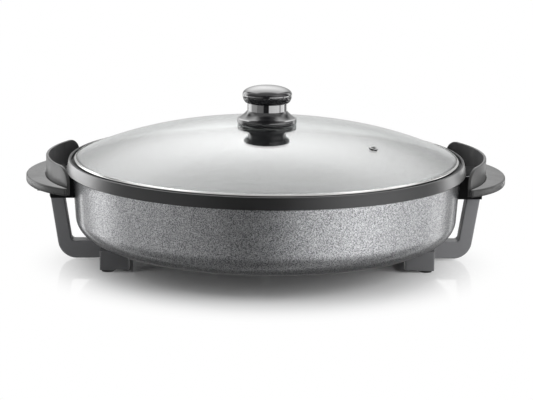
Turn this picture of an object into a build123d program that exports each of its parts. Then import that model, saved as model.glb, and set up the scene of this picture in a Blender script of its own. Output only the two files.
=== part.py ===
"""Round electric skillet: cast pan with ring heater, side handles on foot rails and a loose domed glass lid.

The origin is on the floor under the middle of the pan, +Z up, -Y the front, +X the right-hand handle.
Sizes are in millimetres. A "drop" is measured down from the ceiling of the heater pocket in the pan's
underside.
"""

from build123d import *
from math import asin, atan, cos, degrees, radians, sqrt, tan
import os

# ---------------------------------------------------------------- fits
seat_gap = 0.1  # between a shaft and its hole, or a moulding and what it hugs
skin_gap = 0.05  # between curved faces that lie on each other

# ---------------------------------------------------------------- pan casting
pan_underside = 25.0  # floor to the flat underside of the pan
pan_depth = 85.0  # flat underside to the rim's top plane
wall_radius = 204.0  # outside of the wall, just under the rim
wall_draft = 0.068  # how far the wall leans in for each millimetre down
wall_thickness = 4.0
floor_thickness = 5.0
foot_ring_width = 22.3  # flat ring under the pan, from the heel in to the heater pocket
pocket_depth = 9.0
heel_width = 32.5  # the rounded foot of the wall is a quarter ellipse
heel_height = 25.0
rim_overhang = 6.0  # the rim's outside beyond the wall
rim_height = 12.2
rim_rounding = 2.2
rim_collar = 5.4  # thickness of the upright collar round the lid
lid_recess_depth = 4.0
ledge_width = 8.0  # the ledge that the lid rests on

# ---------------------------------------------------------------- lid
lid_clearance = 3.2  # all round, between the lid's band and the collar
glass_thickness = 4.0
dome_height = 35.2  # crown above the glass edge
dome_power = 2.55  # 2 is a plain bowl, more is a flatter crown and a steeper edge
glass_edge_rise = 0.8  # glass edge above the rim's top plane
band_thickness = 0.8
band_lip = 3.2  # how far the band's lips reach in over the glass
vent_at = (105.0, -79.0)
vent_bore = 2.2
vent_flange_radius = 4.6
vent_under_radius = 4.1
vent_flange_thickness = 0.9
vent_wall = 0.8
knob_hole_radius = 4.0

# ---------------------------------------------------------------- knob
knob_height = 39.7
knob_ring_radius = 31.2
knob_ring_height = 5.4
knob_ring_draft = 1.2  # the ring is narrower at its foot
knob_ring_widest = 2.4  # height of the ring's widest place above the knob's foot
knob_ring_top_inset = 0.9
knob_neck_radius = 20.8
knob_neck_bottom = 13.6
knob_neck_top = 21.4
knob_cap_radius = 25.9
knob_cap_widest = 30.6  # height of the cap's widest place above the knob's foot
knob_shoulder_radius = 18.6  # where the cap's side turns into its crown
knob_shoulder_height = 37.7
insert_radius = 5.0
insert_length = 14.0
knob_screw_radius = 2.4
knob_screw_head_radius = 5.0
knob_screw_engagement = 11.0
washer_radius = 9.0
washer_thickness = 1.2
seal_radius = 29.0
seal_hole_radius = 6.0
seal_crown = 0.5  # thickness of the seal at the crown of the glass

# ---------------------------------------------------------------- heater and inlet
element_inset = 33.0  # middle of the ring inside the cover's side
element_radius = 3.75
element_drop = 6.0  # centre of the tube
element_bend = 12.0
rib_width = 13.0
rib_height = 5.5
rib_gap_side = 24.0  # gap in the rib for the element's ends, each side of the pins
lead_height = 15.5  # centre of the leads, pins and probe above the floor
lead_bend = 10.0
lead_straight = 0.4  # of each lead between its bends
lead_slope_run = 14.0  # how far back each lead goes while it slopes down
pin_radius = 2.5
pin_root_radius = 2.1  # thinner where it is held in the bush
pin_root_length = 21.0
pin_free_length = 35.0
pin_tip_chamfer = 0.8
pin_spacing = 38.0
insulator_wall = 2.4
insulator_length = 8.0
probe_guide_radius = 4.2
probe_guide_wall = 1.0
probe_boss_clear = 8.0  # the boss starts this far behind the rib
probe_boss_width = 13.0
probe_boss_length = 17.0
probe_boss_cover = 1.8  # boss below the probe's bore
shroud_clear = 3.0  # between the cover and the inner end of the inlet
shroud_block_length = 22.0
socket_depth = 45.0
shroud_side = 14.0  # each side of the pins
shroud_height = 20.0
hood_reach = 26.0  # how far the hood over the leads reaches in under the cover
shroud_wall = 2.6
shroud_rounding = 3.0
inlet_screw_inset = 6.0
earth_thickness = 0.8
earth_length = 34.0
earth_height = 9.0

# ---------------------------------------------------------------- cover and reflector
cover_clear = 8.0  # between the cover and the heater pocket's side
cover_reach = 5.5  # how far the cover hangs below the pan's underside
cover_thickness = 1.2
cover_rounding = 4.0
reflector_inset = 8.0  # the reflector's side inside the cover's
reflector_drop = 11.8
reflector_thickness = 0.8
reflector_dish_gap = 6.0  # between the raised middles of the cover and the reflector
reflector_dish_rise = 4.2
dish_radius = 52.0
dish_rise = 4.5
slot_dish_gap = 7.0  # from the raised middle to the near end of each slot
slot_width = 5.0
slot_pitch = 19.0
slot_count = 4
slot_inset = 31.0  # from the cover's side to the far end of each slot
lead_notch_side = 9.0  # notches for the leads, each side of the pins
lead_notch_reach = 24.0  # how far they reach in from the cover's side
spacer_radius = 6.0
centre_screw_radius = 2.0
centre_washer_radius = 7.0
centre_washer_thickness = 1.0

# ---------------------------------------------------------------- foot rails
rail_clear = 4.6  # between the cover and the lugs
rail_width = 16.5
rail_length = 126.0
rail_bottom = 6.5  # above the floor
post_length = 17.0
pad_thickness = 2.5
pad_radius = 6.6
pad_stem_radius = 2.6
pad_stem_length = 5.0
lug_width = 14.0
lug_depth = 14.0
lug_bottom = 3.5  # above the floor
boss_radius = 5.6
boss_height = 2.0
rail_rounding = 1.6
foot_screw_radius = 2.0

# ---------------------------------------------------------------- side straps and handles
strap_thickness = 14.3
strap_depth = 18.0
strap_lean = 0.152  # how far the strap leans out for each millimetre up
strap_clear = 11.1  # from the wall to the strap's inner face, at the top of the strap's head
strap_leg_height = 18.8
strap_bottom = 2.2  # above the floor
strap_outer_radius = 20.0
strap_inner_radius = 4.0
strap_rounding = 1.4
block_clear = 2.3  # under the rim
block_height = 24.0
block_depth = 60.0
head_depth_in_block = 9.5  # top of the block to the top of the strap's head
head_clear = 2.0  # between the wall and the strap's head
head_height = 8.0
head_width = 34.0
head_lip = 5.0  # the head's end beyond the grip screws
head_screw_spread = 12.6
head_screw_inset = 9.0  # inside the guard
grip_screw_spread = 10.0
grip_screw_offset = 7.0  # outside the guard
guard_gap = 18.0  # between the rim and the middle of the guard
guard_radius = 152.0
guard_thickness = 3.0
guard_span = 174.0
guard_rise = 4.2  # guard top above the rim's top plane
guard_corner = 15.0
guard_edge_rounding = 0.9
guard_flange = 2.4
guard_flange_reach = 14.0
grip_thickness = 8.0
grip_depth = 21.0  # how far the grip juts out past the guard
grip_reach = 77.0  # half axes of the ellipse that the grip's outer edge follows
grip_half_length = 100.0
grip_end = 91.0
grip_gap = 0.3
grip_rounding = 2.6
pan_lug_spread = 23.5  # pan lugs for the mounting blocks, each side of the middle
pan_lug_depth = 9.0
pan_lug_length = 9.0
pan_lug_height = 14.0
pan_lug_cover = 1.0  # top of the block above the lugs
block_screw_inset = 3.6  # outside the wall

# ---------------------------------------------------------------- fasteners
small_screw_radius = 2.0
small_head_radius = 3.6
small_head_height = 2.4
cross_width = 0.9
cross_depth = 1.2
cross_length = 1.3  # as a share of the head's radius
floor_engagement = 3.4  # how deep the screws reach into the pan's floor
block_screw_engagement = 8.0
head_screw_engagement = 6.0
grip_screw_engagement = 5.0
strap_screw_engagement = 14.0

# ---------------------------------------------------------------- worked out from the sizes above
rim_top = pan_underside + pan_depth
rim_bottom = rim_top - rim_height
rim_radius = wall_radius + rim_overhang
lid_recess_radius = rim_radius - rim_collar
heel_top = pan_underside + heel_height
pocket_top = pan_underside + pocket_depth
inside_floor = pocket_top + floor_thickness


def wall_outside(z):
    """Radius of the wall's outer face at a height."""
    return wall_radius - wall_draft * (rim_bottom - z)


heel_radius = wall_outside(heel_top) - heel_width
pocket_radius = heel_radius - foot_ring_width
cover_radius = pocket_radius - cover_clear
recess_floor = rim_top - lid_recess_depth
inner_top_radius = lid_recess_radius - ledge_width
inner_heel_radius = wall_outside(heel_top) - wall_thickness
band_outer = lid_recess_radius - lid_clearance
band_inner = band_outer - band_thickness
glass_radius = band_inner - 2 * seat_gap
glass_edge = rim_top + glass_edge_rise


def dome(radius):
    """Height of the glass's outer face at a distance from the lid's axis."""
    return glass_edge + dome_height * (1 - (radius / glass_radius) ** dome_power)


knob_base = dome(0) + seal_crown

element_ring_radius = cover_radius - element_inset
element_height = pocket_top - element_drop
rib_bottom = pocket_top - rib_height
cover_floor = pan_underside - cover_reach
reflector_radius = cover_radius - reflector_inset
reflector_floor = pocket_top - reflector_drop
reflector_dish_radius = dish_radius + reflector_dish_gap
lead_notch_width = pin_spacing + 2 * lead_notch_side
lead_notch_start = cover_radius - lead_notch_reach
slot_start = dish_radius + slot_dish_gap
slot_length = cover_radius - slot_inset - slot_start
slot_centre = slot_start + slot_length / 2

pin_x = pin_spacing / 2
insulator_radius = pin_root_radius + seat_gap + insulator_wall
lead_angle = asin(pin_x / element_ring_radius)
lead_bend_end = element_ring_radius * cos(lead_angle) + element_bend * tan((radians(90) - lead_angle) / 2)
lead_slope_start = lead_bend_end + lead_straight + lead_bend / 2
lead_slope_end = lead_slope_start + lead_slope_run
shroud_back = cover_radius + shroud_clear
hood_start = cover_radius - hood_reach
pin_shoulder = shroud_back + shroud_block_length
shroud_mouth = pin_shoulder + socket_depth
shroud_width = pin_spacing + 2 * shroud_side
shroud_bottom = pan_underside - shroud_height

rail_inner = cover_radius + rail_clear + lug_width
rail_outer = rail_inner + rail_width
rail_top = pan_underside - boss_height
post_x = rail_inner + rail_width / 2
post_y = rail_length / 2 - post_length / 2
lug_x = rail_inner - lug_width / 2
lug_y = rail_length / 2 - lug_depth / 2

block_top = rim_bottom - block_clear
block_bottom = block_top - block_height
pan_lug_top = block_top - pan_lug_cover
pan_lug_bottom = pan_lug_top - pan_lug_height
pan_lug_end = wall_radius + pan_lug_length
block_screw_at = wall_radius + block_screw_inset
head_top = block_top - head_depth_in_block
head_bottom = head_top - head_height
head_inner = wall_radius + head_clear
guard_inner_face = rim_radius + guard_gap
guard_outer_face = guard_inner_face + guard_thickness
guard_circle_x = guard_inner_face - guard_radius
guard_outer_radius = guard_radius + guard_thickness
guard_top = rim_top + guard_rise
flange_top = head_top + guard_flange
head_screw_at = guard_inner_face - head_screw_inset
grip_screw_at = guard_outer_face + grip_screw_offset
head_outer = grip_screw_at + head_lip
grip_bottom = head_top
grip_ellipse_x = guard_outer_face + grip_depth - grip_reach
grip_inner_radius = guard_outer_radius + grip_gap
grip_end_inner = guard_circle_x + sqrt(grip_inner_radius**2 - grip_end**2)
grip_end_outer = grip_ellipse_x + grip_reach * sqrt(1 - (grip_end / grip_half_length) ** 2)
grip_end_rounding = min(grip_rounding, (grip_end_outer - grip_end_inner) / 2.8)  # no more than its end holds
leg_top = strap_bottom + strap_leg_height
strap_inner_corner = wall_radius + strap_clear - strap_lean * (head_top - leg_top)
strap_screw_height = (rail_bottom + leg_top) / 2

standing = (Align.CENTER, Align.CENTER, Align.MIN)
along_y = Plane(origin=(0, 0, lead_height), x_dir=(1, 0, 0), z_dir=(0, 1, 0))  # through pins and probe

os.makedirs("parts", exist_ok=True)


def save(name, builder):
    """Label a finished piece and write it to its file."""
    builder.part.label = name
    export_step(builder.part, f"parts/{name}.step")


def save_pair(name, right_builder):
    """Write the right-hand piece and its mirror image on the left."""
    save(f"right_{name}", right_builder)
    with BuildPart() as left:
        mirror(right_builder.part, about=Plane.YZ)
    save(f"left_{name}", left)


def screw(shank_radius, shank_length, head_radius=small_head_radius, head_height=small_head_height):
    """A cross-head screw in the open builder: the head starts at the location, the shank runs along +Z."""
    Cylinder(head_radius, head_height, align=standing)
    Cylinder(shank_radius, head_height + shank_length, align=standing)
    Box(head_radius * cross_length, cross_width, cross_depth, align=standing, mode=Mode.SUBTRACT)
    Box(cross_width, head_radius * cross_length, cross_depth, align=standing, mode=Mode.SUBTRACT)


def drill(radius, depth):
    """A hole in the open builder from the location along +Z."""
    Cylinder(radius, depth, align=standing, mode=Mode.SUBTRACT)


# ================================================================ pan body
pan_lug_ys = (-pan_lug_spread, pan_lug_spread)
block_screw_places = [(x, y) for x in (-block_screw_at, block_screw_at) for y in pan_lug_ys]
foot_screw_places = [(x, y) for x in (-lug_x, lug_x) for y in (-lug_y, lug_y)]
inlet_screw_x = shroud_width / 2 - inlet_screw_inset
inlet_screw_y = shroud_back + shroud_block_length / 2
inlet_screw_places = [(-inlet_screw_x, inlet_screw_y), (inlet_screw_x, inlet_screw_y)]
probe_boss_start = element_ring_radius + rib_width / 2 + probe_boss_clear
probe_boss_bottom = lead_height - probe_guide_radius + probe_guide_wall - probe_boss_cover

with BuildPart() as pan_body:
    with BuildSketch(Plane.XZ):
        with BuildLine():
            Polyline(
                (0, pocket_top),
                (pocket_radius, pocket_top),
                (pocket_radius, pan_underside),
                (heel_radius, pan_underside),
            )
            EllipticalCenterArc((heel_radius, heel_top), heel_width, heel_height, -90, arc_size=90)
            Polyline(
                (wall_outside(heel_top), heel_top),
                (wall_radius, rim_bottom),
                (rim_radius, rim_bottom),
                (rim_radius, rim_top),
                (lid_recess_radius, rim_top),
                (lid_recess_radius, recess_floor),
                (inner_top_radius, recess_floor),
                (inner_heel_radius, heel_top),
            )
            EllipticalCenterArc(
                (heel_radius, heel_top),
                inner_heel_radius - heel_radius,
                heel_top - inside_floor,
                0,
                arc_size=-90,
            )
            Polyline((heel_radius, inside_floor), (0, inside_floor), (0, pocket_top))
        make_face()
    revolve(axis=Axis.Z)
    rim_edges = pan_body.edges().filter_by(GeomType.CIRCLE).filter_by(
        lambda edge: abs(edge.radius - rim_radius) < 0.01
    )
    fillet(rim_edges, rim_rounding)
    # ring rib that holds the heating element
    with BuildSketch(Plane.XY.offset(rib_bottom)):
        Circle(element_ring_radius + rib_width / 2)
        Circle(element_ring_radius - rib_width / 2, mode=Mode.SUBTRACT)
    extrude(amount=pocket_top - rib_bottom)
    # boss that takes the thermostat's probe
    with Locations((0, probe_boss_start, probe_boss_bottom)):
        Box(
            probe_boss_width,
            probe_boss_length,
            pocket_top - probe_boss_bottom,
            align=(Align.CENTER, Align.MIN, Align.MIN),
        )
    with BuildSketch(along_y.offset(probe_boss_start)):
        Circle(probe_guide_radius - probe_guide_wall)
    extrude(amount=probe_boss_length, mode=Mode.SUBTRACT)
    # bosses for the foot rails
    with BuildSketch(Plane.XY.offset(pan_underside - boss_height)):
        with Locations(*foot_screw_places):
            Circle(boss_radius)
    extrude(amount=boss_height)
    # lugs under the rim for the mounting blocks
    lug_root = sqrt((wall_outside(pan_lug_bottom) - wall_thickness / 2) ** 2 - pan_lug_spread**2)
    with BuildSketch(Plane.XY.offset(pan_lug_bottom)):
        for side in (-1, 1):
            with Locations(*[(side * (lug_root + pan_lug_end) / 2, y) for y in pan_lug_ys]):
                Rectangle(pan_lug_end - lug_root, pan_lug_depth)
    extrude(amount=pan_lug_height)
    # blind screw holes
    with Locations(*[(x, y, pan_underside - boss_height) for x, y in foot_screw_places]):
        drill(foot_screw_radius + seat_gap, boss_height + floor_engagement + seat_gap)
    with Locations(*[(x, y, pan_lug_bottom) for x, y in block_screw_places]):
        drill(small_screw_radius + seat_gap, block_screw_engagement + seat_gap)
    with Locations(*[(x, y, pan_underside) for x, y in inlet_screw_places]):
        drill(small_screw_radius + seat_gap, floor_engagement + seat_gap)
    with Locations((0, 0, pocket_top)):
        drill(centre_screw_radius + seat_gap, floor_engagement + seat_gap)
    # groove for the element, open at the back where its ends leave the rib
    with BuildSketch(Plane.XZ):
        with Locations((element_ring_radius, element_height)):
            Circle(element_radius + seat_gap)
    revolve(axis=Axis.Z, mode=Mode.SUBTRACT)
    with Locations((0, 0, rib_bottom)):
        Box(
            pin_spacing + 2 * rib_gap_side,
            element_ring_radius + rib_width,
            pocket_top - rib_bottom,
            align=(Align.CENTER, Align.MIN, Align.MIN),
            mode=Mode.SUBTRACT,
        )
save("pan_body", pan_body)

# ================================================================ heating element
lead_end = pin_shoulder - pin_root_length
ring_gap = degrees(lead_angle)  # each side of the middle

with BuildPart() as heating_element:
    with BuildLine(Plane.XY.offset(element_height)) as ring_path:
        ring = CenterArc((0, 0), element_ring_radius, 90 + ring_gap, 360 - 2 * ring_gap)
        Line(ring @ 0, (-pin_x, lead_slope_start - lead_bend / 2))
        Line(ring @ 1, (pin_x, lead_slope_start - lead_bend / 2))
        corners = ring_path.vertices().filter_by(
            lambda v: abs(abs(v.X) - pin_x) < 0.01 and v.Y < element_ring_radius
        )
        fillet(corners, element_bend)
    ring_end = Plane(origin=(-pin_x, lead_slope_start - lead_bend / 2, element_height), z_dir=(0, 1, 0))
    with BuildSketch(ring_end):
        Circle(element_radius)
    sweep(path=ring_path.wires()[0])
    for x in (-pin_x, pin_x):
        with BuildLine(Plane.YZ.offset(x)) as lead_path:
            FilletPolyline(
                (lead_slope_start - lead_bend / 2, element_height),
                (lead_slope_start, element_height),
                (lead_slope_end, lead_height),
                (lead_end, lead_height),
                radius=lead_bend,
            )
        with BuildSketch(ring_end.shift_origin((x, ring_end.origin.Y, element_height))):
            Circle(element_radius)
        sweep(path=lead_path.wires()[0])
save("heating_element", heating_element)

# ================================================================ inlet at the back
shroud_top = pan_underside
insulator_start = pin_shoulder - insulator_length
socket_bottom = shroud_bottom + shroud_wall
socket_top = shroud_top - shroud_wall
socket_width = shroud_width - 2 * shroud_wall

with BuildPart() as inlet_pins:
    with BuildSketch(along_y.offset(lead_end)):
        with Locations((-pin_x, 0), (pin_x, 0)):
            Circle(pin_root_radius)
    extrude(amount=pin_root_length)
    with BuildSketch(along_y.offset(pin_shoulder)):
        with Locations((-pin_x, 0), (pin_x, 0)):
            Circle(pin_radius)
    extrude(amount=pin_free_length)
    chamfer(inlet_pins.faces().filter_by(Plane.XZ).group_by(Axis.Y)[-1].edges(), pin_tip_chamfer)
save("inlet_pins", inlet_pins)

with BuildPart() as pin_insulators:
    with BuildSketch(along_y.offset(insulator_start)):
        with Locations((-pin_x, 0), (pin_x, 0)):
            Circle(insulator_radius)
            Circle(pin_root_radius + seat_gap, mode=Mode.SUBTRACT)
    extrude(amount=insulator_length)
save("pin_insulators", pin_insulators)

probe_start = probe_boss_start + probe_boss_length
probe_end = pin_shoulder

with BuildPart() as probe_guide:
    with BuildSketch(along_y.offset(probe_start)):
        Circle(probe_guide_radius)
        Circle(probe_guide_radius - probe_guide_wall, mode=Mode.SUBTRACT)
    extrude(amount=probe_end - probe_start)
save("probe_guide", probe_guide)

with BuildPart() as inlet_shroud:
    with BuildSketch(Plane.XZ.offset(-shroud_back)):
        with Locations((0, (shroud_bottom + shroud_top) / 2)):
            RectangleRounded(shroud_width, shroud_top - shroud_bottom, shroud_rounding)
    extrude(amount=-(shroud_mouth - shroud_back))
    # open-topped hood over the leads
    with Locations((0, shroud_back, shroud_bottom)):
        Box(
            shroud_width,
            shroud_back - hood_start,
            cover_floor - seat_gap - shroud_bottom,
            align=(Align.CENTER, Align.MAX, Align.MIN),
        )
    with Locations((0, shroud_back, socket_bottom)):
        Box(
            socket_width,
            shroud_back - hood_start - shroud_wall,
            cover_floor - socket_bottom,
            align=(Align.CENTER, Align.MAX, Align.MIN),
            mode=Mode.SUBTRACT,
        )
    with BuildSketch(Plane.XZ.offset(-pin_shoulder)):
        with Locations((0, (socket_bottom + socket_top) / 2)):
            RectangleRounded(socket_width, socket_top - socket_bottom, shroud_rounding / 2)
    extrude(amount=-(shroud_mouth - pin_shoulder), mode=Mode.SUBTRACT)
    with BuildSketch(along_y.offset(shroud_back)):
        with Locations((-pin_x, 0), (pin_x, 0)):
            Circle(insulator_radius + seat_gap)
        Circle(probe_guide_radius + seat_gap)
    extrude(amount=shroud_block_length, mode=Mode.SUBTRACT)
    with Locations(*[(x, y, shroud_bottom) for x, y in inlet_screw_places]):
        drill(small_head_radius + seat_gap, small_head_height)
        drill(small_screw_radius + seat_gap, shroud_top - shroud_bottom)
save("inlet_shroud", inlet_shroud)

with BuildPart() as inlet_screws:
    with Locations(*[(x, y, shroud_bottom) for x, y in inlet_screw_places]):
        screw(small_screw_radius, shroud_top - shroud_bottom - small_head_height + floor_engagement)
save("inlet_screws", inlet_screws)

with BuildPart() as earth_clip:
    with Locations((socket_width / 2 - earth_thickness, pin_shoulder, lead_height)):
        Box(earth_thickness, earth_length, earth_height, align=(Align.MIN, Align.MIN, Align.CENTER))
save("earth_clip", earth_clip)

# ================================================================ reflector, cover and centre screw


def open_notch():
    """Cuts the opening for the leads and the probe boss into the open builder, from the floor up."""
    with Locations((0, lead_notch_start, 0)):
        Box(
            lead_notch_width,
            pocket_radius - lead_notch_start,
            pocket_top,
            align=(Align.CENTER, Align.MIN, Align.MIN),
            mode=Mode.SUBTRACT,
        )


def raise_middle(bottom, radius, rise, thickness):
    """Presses a round raised middle into the sheet floor of the open builder."""
    with Locations((0, 0, bottom)):
        Cylinder(radius, rise + thickness, align=standing)
        Cylinder(radius - thickness, rise, align=standing, mode=Mode.SUBTRACT)


reflector_dish_floor = reflector_floor + reflector_dish_rise

with BuildPart() as heat_reflector:
    with BuildSketch(Plane.XY.offset(reflector_floor)):
        Circle(reflector_radius)
    extrude(amount=pocket_top - reflector_floor)
    offset(amount=-reflector_thickness, openings=heat_reflector.faces().sort_by(Axis.Z)[-1])
    raise_middle(reflector_floor, reflector_dish_radius, reflector_dish_rise, reflector_thickness)
    open_notch()
    with Locations((0, 0, reflector_dish_floor)):
        drill(centre_screw_radius + seat_gap, reflector_thickness)
save("heat_reflector", heat_reflector)

dish_floor = cover_floor + dish_rise
slot_places = [
    (side * slot_centre, (row - (slot_count - 1) / 2) * slot_pitch)
    for side in (-1, 1)
    for row in range(slot_count)
]

with BuildPart() as bottom_cover:
    with BuildSketch(Plane.XY.offset(cover_floor)):
        Circle(cover_radius)
    extrude(amount=pocket_top - cover_floor)
    fillet(bottom_cover.edges().sort_by(Axis.Z)[0], cover_rounding)
    offset(amount=-cover_thickness, openings=bottom_cover.faces().sort_by(Axis.Z)[-1])
    raise_middle(cover_floor, dish_radius, dish_rise, cover_thickness)
    with BuildSketch(Plane.XY.offset(cover_floor)):
        with Locations(*slot_places):
            SlotOverall(slot_length, slot_width)
    extrude(amount=cover_thickness, mode=Mode.SUBTRACT)
    open_notch()
    with Locations((0, 0, dish_floor)):
        drill(centre_screw_radius + seat_gap, cover_thickness)
save("bottom_cover", bottom_cover)

over_reflector = reflector_dish_floor + reflector_thickness
over_dish = dish_floor + cover_thickness

with BuildPart() as centre_spacer:
    for bottom, top in ((over_reflector, pocket_top), (over_dish, reflector_dish_floor)):
        with BuildSketch(Plane.XY.offset(bottom)):
            Circle(spacer_radius)
            Circle(centre_screw_radius + seat_gap, mode=Mode.SUBTRACT)
        extrude(amount=top - bottom)
save("centre_spacer", centre_spacer)

with BuildPart() as centre_washer:
    with BuildSketch(Plane.XY.offset(dish_floor - centre_washer_thickness)):
        Circle(centre_washer_radius)
        Circle(centre_screw_radius + seat_gap, mode=Mode.SUBTRACT)
    extrude(amount=centre_washer_thickness)
save("centre_washer", centre_washer)

centre_head_bottom = dish_floor - centre_washer_thickness - small_head_height

with BuildPart() as centre_screw:
    with Locations((0, 0, centre_head_bottom)):
        screw(centre_screw_radius, pocket_top - centre_head_bottom - small_head_height + floor_engagement)
save("centre_screw", centre_screw)

# ================================================================ foot rails
with BuildPart() as right_foot_rail:
    with BuildSketch(Plane.XY.offset(rail_bottom)):
        with Locations((post_x, 0)):
            Rectangle(rail_width, rail_length - post_length)
    extrude(amount=rail_top - rail_bottom)
    with BuildSketch(Plane.XY.offset(pad_thickness)):
        with Locations(*[(post_x, y) for y in (-post_y, post_y)]):
            RectangleRounded(rail_width, post_length, rail_rounding)
    extrude(amount=rail_top - pad_thickness)
    with BuildSketch(Plane.XY.offset(lug_bottom)):
        with Locations(*[(lug_x + rail_rounding, y) for y in (-lug_y, lug_y)]):
            RectangleRounded(lug_width + 2 * rail_rounding, lug_depth, rail_rounding)
    extrude(amount=rail_top - lug_bottom)
    with Locations(*[(lug_x, y, lug_bottom) for y in (-lug_y, lug_y)]):
        drill(small_head_radius + seat_gap, small_head_height)
        drill(foot_screw_radius + seat_gap, rail_top - lug_bottom)
    with Locations(*[(post_x, y, pad_thickness) for y in (-post_y, post_y)]):
        drill(pad_stem_radius + seat_gap, pad_stem_length + seat_gap)
    with Locations(Plane(origin=(rail_inner, 0, strap_screw_height), z_dir=(1, 0, 0))):
        drill(small_head_radius + seat_gap, small_head_height)
        drill(small_screw_radius + seat_gap, rail_width)
save_pair("foot_rail", right_foot_rail)

with BuildPart() as foot_pads:
    pad_places = [(x, y) for x in (-1, 1) for y in (-post_y, post_y)]
    with Locations(*[(side * post_x, y, 0) for side, y in pad_places]):
        Cylinder(pad_radius, pad_thickness, align=standing)
        Cylinder(pad_stem_radius, pad_thickness + pad_stem_length, align=standing)
save("foot_pads", foot_pads)

with BuildPart() as foot_screws:
    with Locations(*[(x, y, lug_bottom) for x, y in foot_screw_places]):
        screw(foot_screw_radius, pan_underside - lug_bottom - small_head_height + floor_engagement)
save("foot_screws", foot_screws)

# ================================================================ side straps


def strap_inside(z):
    """Distance of the strap's inner face from the middle plane at a height."""
    return strap_inner_corner + strap_lean * (z - leg_top)


with BuildPart() as right_side_strap:
    with BuildSketch(Plane.XZ) as strap_side:
        with BuildLine():
            Polyline(
                (rail_outer, strap_bottom),
                (strap_inside(strap_bottom) + strap_thickness, strap_bottom),
                (strap_inside(head_top) + strap_thickness, head_top),
                (strap_inside(head_top), head_top),
                (strap_inside(leg_top), leg_top),
                (rail_outer, leg_top),
                close=True,
            )
        make_face()
        # in a sketch's own coordinates Y is the height
        outer_corner = strap_side.vertices().filter_by(lambda v: v.X > rail_outer + 1 and v.Y < leg_top - 1)
        fillet(outer_corner, strap_outer_radius)
        inner_corner = strap_side.vertices().filter_by(
            lambda v: v.X > rail_outer + 1 and abs(v.Y - leg_top) < 0.01 and v.X < strap_inner_corner + 1
        )
        fillet(inner_corner, strap_inner_radius)
    extrude(amount=strap_depth / 2, both=True)
    with BuildSketch(Plane.XY.offset(head_bottom)):
        with Locations(((head_inner + head_outer) / 2, 0)):
            RectangleRounded(head_outer - head_inner, head_width, strap_inner_radius)
    extrude(amount=head_height)
    side_edges = right_side_strap.edges().filter_by_position(Axis.Z, strap_bottom - 1, head_bottom - 1)
    free_edges = side_edges.filter_by_position(Axis.X, rail_outer + 1, head_outer)
    fillet(free_edges, strap_rounding)
    with Locations(*[(head_screw_at, y, head_bottom) for y in (-head_screw_spread, head_screw_spread)]):
        drill(small_screw_radius + seat_gap, head_height)
    with Locations(*[(grip_screw_at, y, head_bottom) for y in (-grip_screw_spread, grip_screw_spread)]):
        drill(small_screw_radius + seat_gap, head_height)
    with Locations(Plane(origin=(rail_outer, 0, strap_screw_height), z_dir=(1, 0, 0))):
        drill(small_screw_radius + seat_gap, strap_screw_engagement + seat_gap)
save_pair("side_strap", right_side_strap)

with BuildPart() as strap_screws:
    with Locations(
        *[
            Plane(origin=(side * rail_inner, 0, strap_screw_height), z_dir=(side, 0, 0))
            for side in (-1, 1)
        ]
    ):
        screw(small_screw_radius, rail_width - small_head_height + strap_screw_engagement)
save("strap_screws", strap_screws)

# ================================================================ handles: block, guard and grip
with BuildPart() as right_mounting_block:
    with BuildSketch(Plane.XY.offset(block_bottom)):
        with Locations((guard_circle_x, 0)):
            Circle(guard_radius - skin_gap)
        with Locations((guard_inner_face, 0)):
            Rectangle(guard_radius, block_depth, mode=Mode.INTERSECT)
    extrude(amount=block_top - block_bottom)
    # the pan's leaning wall
    with Locations((0, 0, block_bottom)):
        Cone(
            wall_outside(block_bottom) + seat_gap,
            wall_outside(block_top) + seat_gap,
            block_top - block_bottom,
            align=standing,
            mode=Mode.SUBTRACT,
        )
    # pockets for the pan's lugs
    with BuildSketch(Plane.XY.offset(pan_lug_bottom - seat_gap)):
        with Locations(*[(pan_lug_end + seat_gap, y) for y in pan_lug_ys]):
            Rectangle(guard_radius, pan_lug_depth + 2 * seat_gap, align=(Align.MAX, Align.CENTER))
    extrude(amount=block_top - pan_lug_bottom + seat_gap, mode=Mode.SUBTRACT)
    # slot for the strap's head and the guard's flange
    with BuildSketch(Plane.XY.offset(block_bottom)):
        with Locations((head_inner - seat_gap, 0)):
            Rectangle(guard_radius, head_width + 2 * seat_gap, align=(Align.MIN, Align.CENTER))
    extrude(amount=flange_top - block_bottom, mode=Mode.SUBTRACT)
    with Locations(*[(block_screw_at, y, block_bottom) for y in pan_lug_ys]):
        drill(small_head_radius + seat_gap, small_head_height)
        drill(small_screw_radius + seat_gap, block_top - block_bottom)
    with Locations(*[(head_screw_at, y, flange_top) for y in (-head_screw_spread, head_screw_spread)]):
        drill(small_screw_radius + seat_gap, head_screw_engagement + seat_gap)
save_pair("mounting_block", right_mounting_block)

with BuildPart() as block_screws:
    with Locations(*[(x, y, block_bottom) for x, y in block_screw_places]):
        screw(small_screw_radius, pan_lug_bottom - block_bottom - small_head_height + block_screw_engagement)
save("block_screws", block_screws)

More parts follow.
